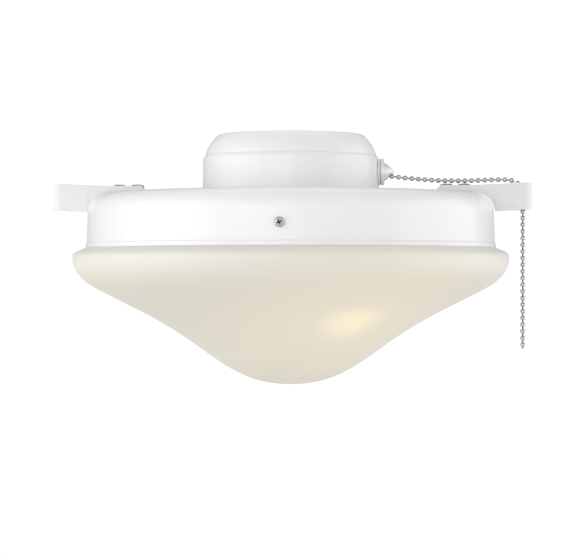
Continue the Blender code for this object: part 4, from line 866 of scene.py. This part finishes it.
def armStations():
    # points of the strap's middle line, each with the strap's lower and upper edge
    middle = arm["eyeRadius"] - arm["thickness"] / 2
    inner = panFlat - arm["footInset"] - arm["footLength"]
    footEnd = panFlat - arm["footInset"]
    bendTop = pan["top"] + gap + arm["thickness"] / 2 + arm["bend"]
    top = pan["top"] + arm["innerTopRise"]
    stations = [
        (inner, -middle, bendTop, bendTop + gap),
        (inner + arm["endSlope"], -middle, bendTop, top),
        (footEnd, -middle, bendTop, top),
    ]
    # the notch over the pan's shoulder opens a little towards its lower end
    shoulder = Vector((panFlat, pan["top"] - pan["shoulderRound"]))
    reach = pan["shoulderRound"] + arm["notchGap"]
    stop = math.degrees(math.asin((pan["shoulderRound"] - arm["innerBottomDrop"]) / reach))
    for index, point in enumerate(arcPoints(shoulder, reach, 90, stop, arm["notchSteps"])):
        closer = (arm["notchGap"] - arm["notchStart"]) * (1 - index / arm["notchSteps"])
        x, low = shoulder + (Vector(point) - shoulder) * (1 - closer / reach)
        stations.append((x, -middle, max(low, armHeights(x)[0]), armHeights(x)[1]))
    outer = stations[-1][0] + arm["notchGap"]
    stations.append((outer, -middle, *armHeights(outer)))
    eye = pan["radius"] + arm["eyeStandoff"]
    left = eye + arm["eyeRadius"] - arm["eyeLength"] + arm["thickness"] / 2
    corner = (left + arm["eyeCorner"], middle - arm["eyeCorner"])
    curl = arcPoints((eye, 0), middle, -90, 90, steps=28)
    curl += arcPoints(corner, arm["eyeCorner"], 90, 180, steps=10)
    curl += [(left, -middle + arm["thickness"] / 2 + arm["eyeSlit"])]
    return stations + [(x, y, *armHeights(x)) for x, y in curl]


def grownVerts(grown):
    return [part for part in grown if isinstance(part, bmesh.types.BMVert)]


def makeArm(name, node, side):
    shape = bmesh.new()
    stations = armStations()
    top = [shape.verts.new((x, y, high)) for x, y, low, high in stations]
    edges = [shape.edges.new(pair) for pair in zip(top, top[1:])]
    lower = grownVerts(bmesh.ops.extrude_edge_only(shape, edges=edges)["geom"])
    for vert in lower:
        nearest = min(stations, key=lambda s: (s[0] - vert.co.x) ** 2 + (s[1] - vert.co.y) ** 2)
        vert.co.z = nearest[2]
    # the bend and the foot grow from the strap's lower edge, over the foot's length
    footEnd = panFlat - arm["footInset"] + gap
    fold = [e for e in shape.edges if all(v in lower and v.co.x < footEnd for v in e.verts)]
    bend = arcPoints((0, 0), arm["bend"], 180, 270, arm["bendSteps"])
    for before, after in zip(bend, bend[1:]):
        grown = bmesh.ops.extrude_edge_only(shape, edges=fold)["geom"]
        move = (0, after[0] - before[0], after[1] - before[1])
        bmesh.ops.translate(shape, verts=grownVerts(grown), vec=move)
        fold = [
            e for e in grown
            if isinstance(e, bmesh.types.BMEdge) and abs(e.verts[0].co.z - e.verts[1].co.z) < mergeDistance
        ]
    outer = grownVerts(bmesh.ops.extrude_edge_only(shape, edges=fold)["geom"])
    width = arm["footWidth"] - arm["thickness"] / 2 - arm["bend"]
    bmesh.ops.translate(shape, verts=outer, vec=(0, width, 0))
    ends = sorted(outer, key=lambda v: v.co.x)
    bmesh.ops.bevel(
        shape, geom=[ends[0], ends[-1]], offset=arm["footCorner"], segments=6, profile=0.5,
        affect="VERTICES", material=-1)
    bmesh.ops.scale(shape, verts=shape.verts, vec=(side, 1, 1))
    # the arms take the enamel greyed as painted shade
    piece = addPiece(name, shape, "white_enamel", (node,), materials["dullEnamelPaintedShade"], sharp=arm["sharp"])
    thicken = piece.modifiers.new("strap", "SOLIDIFY")
    thicken.thickness = arm["thickness"]
    thicken.offset = 0
    thicken.use_even_offset = True
    soften = piece.modifiers.new("softEdges", "BEVEL")
    soften.width = arm["edgeRound"]
    soften.segments = 3
    soften.limit_method = "ANGLE"
    soften.angle_limit = math.radians(arm["edgeAngle"])


# Screws: domed heads with a cross recess
screwFaces = 48
domeShares = (
    (0, 1), (0.27, 0.995), (0.52, 0.975), (0.71, 0.92), (0.84, 0.84), (0.935, 0.72), (0.99, 0.58), (1, 0.3),
)
crossTurn = 20
crossTaper = 0.45
armScrew = {
    "inset": 6.8 * mm,
    "spacing": 11.5 * mm,
    "side": 8.0 * mm,
    "below": 5.5 * mm,
    "shank": 2.2 * mm,
    "head": 5.0 * mm,
    "dome": 4.4 * mm,
    "flangeReach": 0.35 * mm,
    "flange": 0.8 * mm,
    "flangeSoft": 0.15 * mm,
    "flangeDrop": 0.2 * mm,
    "crossWidth": 1.1 * mm,
    "crossReach": 2.6 * mm,
    "crossDepth": 1.6 * mm,
    "turnStep": 0.7,  # radians from one screw's cross to the next one's
}
glassScrew = {
    "count": 3,
    "first": 271.2,  # degrees
    "height": -59.4 * mm,
    "standoff": 0.48 * mm,
    "tip": 122.9 * mm,
    "shank": 2.0 * mm,
    "head": 3.1 * mm,
    "dome": 2.4 * mm,
    "flangeReach": 0,
    "crossWidth": 1.5 * mm,
    "crossReach": 2.4 * mm,
    "crossDepth": 1.3 * mm,
    "rimRadius": 4.4 * mm,
    "rimHeight": 0.22 * mm,
    "rimSoft": 0.35 * mm,
}


def armScrewPlaces():
    outer = panFlat - armScrew["inset"]
    across = armScrew["side"] - arm["eyeRadius"]
    return [(side * x, across) for side in (1, -1) for x in (outer - armScrew["spacing"], outer)]


def glassScrewAngles():
    step = 360 / glassScrew["count"]
    return [glassScrew["first"] + step * index for index in range(glassScrew["count"])]


def headOutline(size):
    # the head's side, from its top to its seat
    dome = size["head"] - size["flangeReach"]
    points = [(dome * across, size["dome"] * up) for across, up in domeShares]
    if size["flangeReach"]:
        points += [
            (size["head"] - size["flangeSoft"], size["flange"]),
            (size["head"], size["flange"] - size["flangeDrop"]),
        ]
    return points + [(size["head"], 0)]


def cutCross(piece, size, place):
    for turn in (crossTurn, crossTurn + 90):
        cutter = bmesh.new()
        bmesh.ops.create_cube(cutter, size=1)
        for vert in cutter.verts:
            taper = 1 if vert.co.z > 0 else crossTaper
            vert.co = Vector((
                vert.co.x * 2 * size["crossReach"] * taper, vert.co.y * size["crossWidth"] * taper,
                vert.co.z * 2 * size["crossDepth"]))
        top = place @ Matrix.Translation((0, 0, size["dome"])) @ Matrix.Rotation(math.radians(turn), 4, "Z")
        bmesh.ops.transform(cutter, verts=cutter.verts, matrix=top)
        # the cross's cut faces take a dark finish, painted shade of the recess
        carve(piece, cutter, materials["recessPaintedShade"])


def makeScrew(name, node, size, end, place, material, body="light_kit", turn=0):
    outline = headOutline(size) + [(size["shank"], 0), (size["shank"], end), (0, end)]
    shape = spinOutline(outline, screwFaces, place)
    piece = addPiece(name, shape, "nickel", (node,), material, body)
    cutCross(piece, size, place @ Matrix.Rotation(turn, 4, "Z"))


def makeScrews():
    seat = pan["top"] + gap + arm["thickness"] + gap
    end = pan["top"] - armScrew["below"] - seat
    for index, (x, y) in enumerate(armScrewPlaces()):
        makeScrew(
            f"armScrew{index + 1}", f"arm_screw_{index + 1}", armScrew, end, Matrix.Translation((x, y, seat)),
            materials["satinZinc"], turn=index * armScrew["turnStep"])
    seat = pan["radius"] + glassScrew["standoff"]
    for index, azimuth in enumerate(glassScrewAngles()):
        node = f"glass_screw_{index + 1}"
        makeScrew(
            f"glassScrew{index + 1}", node, glassScrew, glassScrew["tip"] - seat,
            around(azimuth, seat, glassScrew["height"]), materials["platedSteel"], node)


# Chain nozzle: a flange, a blunt cone with the chain's slot in its lower side, and a washer behind it
nozzle = {
    "faces": 64,
    "height": -24.2 * mm,
    "seat": 58.2 * mm,
    "bore": 4.9 * mm,
    "tube": 5.9 * mm,
    "tubeLength": 6.9 * mm,
    "flange": 8.6 * mm,
    "flangeHeight": 1.9 * mm,
    "flangeRound": 0.5 * mm,
    "hood": 6.1 * mm,
    "hoodLength": 6.7 * mm,
    "hoodWall": 1.0 * mm,
    "hoodSteps": 16,
    "swellShare": 0.22,
    "slot": 2.1 * mm,
    "chainDrop": 2.8 * mm,
    "washer": 56.8 * mm,
    "washerHeight": 1.18 * mm,
    "washerSoft": 0.25 * mm,
}


def hoodSide(radius, length):
    # the cone's side, swelled outwards a little between its foot and its tip
    points = []
    for step in range(nozzle["hoodSteps"] + 1):
        share = step / nozzle["hoodSteps"]
        width = 1 - share + 2 * nozzle["swellShare"] * share * (1 - share)
        points.append((radius * width, nozzle["flangeHeight"] + length * share))
    return points


def makeNozzle():
    edge, flange, flangeTop = nozzle["flangeRound"], nozzle["flange"], nozzle["flangeHeight"]
    outer = hoodSide(nozzle["hood"], nozzle["hoodLength"])
    inner = hoodSide(nozzle["bore"], nozzle["hoodLength"] - nozzle["hoodWall"])
    outline = [(nozzle["bore"], -nozzle["tubeLength"]), (nozzle["tube"], -nozzle["tubeLength"])]
    outline += [(nozzle["tube"], 0)]
    outline += arcPoints((flange - edge, edge), edge, -90, 0, steps=6)
    outline += arcPoints((flange - edge, flangeTop - edge), edge, 0, 90, steps=6)
    place = around(0, nozzle["seat"], nozzle["height"])
    shape = spinOutline(outline + outer + inner[::-1], nozzle["faces"], place)
    piece = addPiece("nozzleShell", shape, "nickel", ("chain_nozzle",), materials["silverLacquer"])
    slot = bmesh.new()
    place = around(0, nozzle["seat"], nozzle["height"] - nozzle["chainDrop"])
    drillShape(slot, place, nozzle["slot"], flangeTop + nozzle["hoodWall"], nozzle["hoodLength"] * 2)
    carve(piece, slot)


def makeNozzleWasher():
    high, soft, flange = nozzle["washerHeight"], nozzle["washerSoft"], nozzle["flange"]
    bore = nozzle["tube"] + gap
    outline = [(bore, high), (bore, 0), (flange, 0), (flange, high - soft), (flange - soft, high)]
    shape = spinOutline(outline, nozzle["faces"], around(0, nozzle["washer"], nozzle["height"]))
    # the washer's back is pressed round to the housing's curve
    for vert in shape.verts:
        if vert.co.x < nozzle["washer"] + gap:
            vert.co.x = math.sqrt(nozzle["washer"] ** 2 - vert.co.y ** 2)
    # the washer takes the same enamel, greyed as painted shade
    addPiece("nozzleWasher", shape, "white_enamel", ("nozzle_washer",), materials["dullEnamelPaintedShade"])


# Make every piece, the chain's cords first
stringChain()
print("chain strung")
makeCollar()
makeHousing()
print("collar and housing ready")
makePan()
makeHoleRims()
print("pan ready")
makeBowl()
print("bowl ready")
makeArm("chainArmRight", "chain_arm_right", 1)
makeArm("chainArmLeft", "chain_arm_left", -1)
print("arms ready")
makeScrews()
print("screws ready")
makeNozzle()
makeNozzleWasher()
print("nozzle ready")


studio = {
    "floorDrop": 2.2,  # metres, as every length here
    "floorRadius": 30,
    "floorFaces": 96,
    "floorColor": "#F4F4F2",
    "floorGlow": (0.2, 0.46),
    "glowFrom": 4,
    "glowTo": 15,
    "worldSeen": 1.06,
    "worldLight": 0.61,
    "worldGloss": (0.95, 0.36),
    # name, place, size in metres, power in watts
    "lights": (
        ("leftSoftbox", (-1.25, -0.58, 0.05), 1.6, 10.0),
        ("rightSoftbox", (1.65, 0.12, 0.0), 2.0, 14.4),
        ("frontSoftbox", (-0.3, -1.78, 0.1), 1.1, 4.8),
        ("topSoftbox", (0.05, 0.6, 1.5), 1.2, 3.8),
    ),
}


def makeFloor():
    # paper that glows more with distance, so that its far edge is lost in the white
    shape = bmesh.new()
    bmesh.ops.create_circle(
        shape, cap_ends=True, segments=studio["floorFaces"], radius=studio["floorRadius"])
    bmesh.ops.translate(shape, verts=shape.verts, vec=(0, 0, -studio["floorDrop"]))
    mesh = bpy.data.meshes.new("studioFloor")
    shape.to_mesh(mesh)
    shape.free()
    paper, tree, shader = newMaterial("seamlessPaper", {
        "Base Color": hexColor(studio["floorColor"]), "Roughness": 0.9, "Emission Color": (1, 1, 1, 1)})
    place = addNode(tree, "ShaderNodeTexCoord")
    away = addNode(tree, "ShaderNodeVectorMath", {"operation": "LENGTH"}, {0: place.outputs["Object"]})
    near, far = studio["floorGlow"]
    glow = addNode(tree, "ShaderNodeMapRange", {"interpolation_type": "SMOOTHSTEP"}, {
        "Value": away.outputs["Value"], "From Min": studio["glowFrom"], "From Max": studio["glowTo"],
        "To Min": near, "To Max": far})
    tree.links.new(glow.outputs[0], shader.inputs["Emission Strength"])
    mesh.materials.append(paper)
    floor = bpy.data.objects.new("studioFloor", mesh)
    bpy.context.scene.collection.objects.link(floor)


def makeWorld():
    # the camera sees plain white, dull faces get a softer light, and shiny faces see a darker back
    world = bpy.data.worlds.new("studioWhite")
    world.use_nodes = True
    tree = world.node_tree
    sky = tree.nodes["Background"]
    path = addNode(tree, "ShaderNodeLightPath")
    heading = addNode(tree, "ShaderNodeTexCoord")
    split = addNode(tree, "ShaderNodeSeparateXYZ", None, {0: heading.outputs["Generated"]})
    front, back = studio["worldGloss"]
    gloss = addNode(tree, "ShaderNodeMapRange", {"interpolation_type": "SMOOTHSTEP"}, {
        "Value": split.outputs["Y"], "From Min": -1, "From Max": 0, "To Min": front, "To Max": back})
    lit = addNode(tree, "ShaderNodeMapRange", None, {
        "Value": path.outputs["Is Glossy Ray"], "To Min": studio["worldLight"],
        "To Max": gloss.outputs[0]})
    strength = addNode(tree, "ShaderNodeMapRange", None, {
        "Value": path.outputs["Is Camera Ray"], "To Min": lit.outputs[0], "To Max": studio["worldSeen"]})
    sky.inputs["Color"].default_value = (1, 1, 1, 1)
    tree.links.new(strength.outputs[0], sky.inputs["Strength"])
    bpy.context.scene.world = world


def makeLights():
    target = Vector((0, 0, camera["height"]))
    for name, place, size, power in studio["lights"]:
        data = bpy.data.lights.new(name, "AREA")
        data.size = size
        data.energy = power
        light = bpy.data.objects.new(name, data)
        light.location = place
        light.rotation_euler = (target - Vector(place)).to_track_quat("-Z", "Y").to_euler()
        bpy.context.scene.collection.objects.link(light)


makeFloor()
makeWorld()
makeLights()
bpy.context.scene.view_settings.view_transform = "Standard"
print("studio ready")
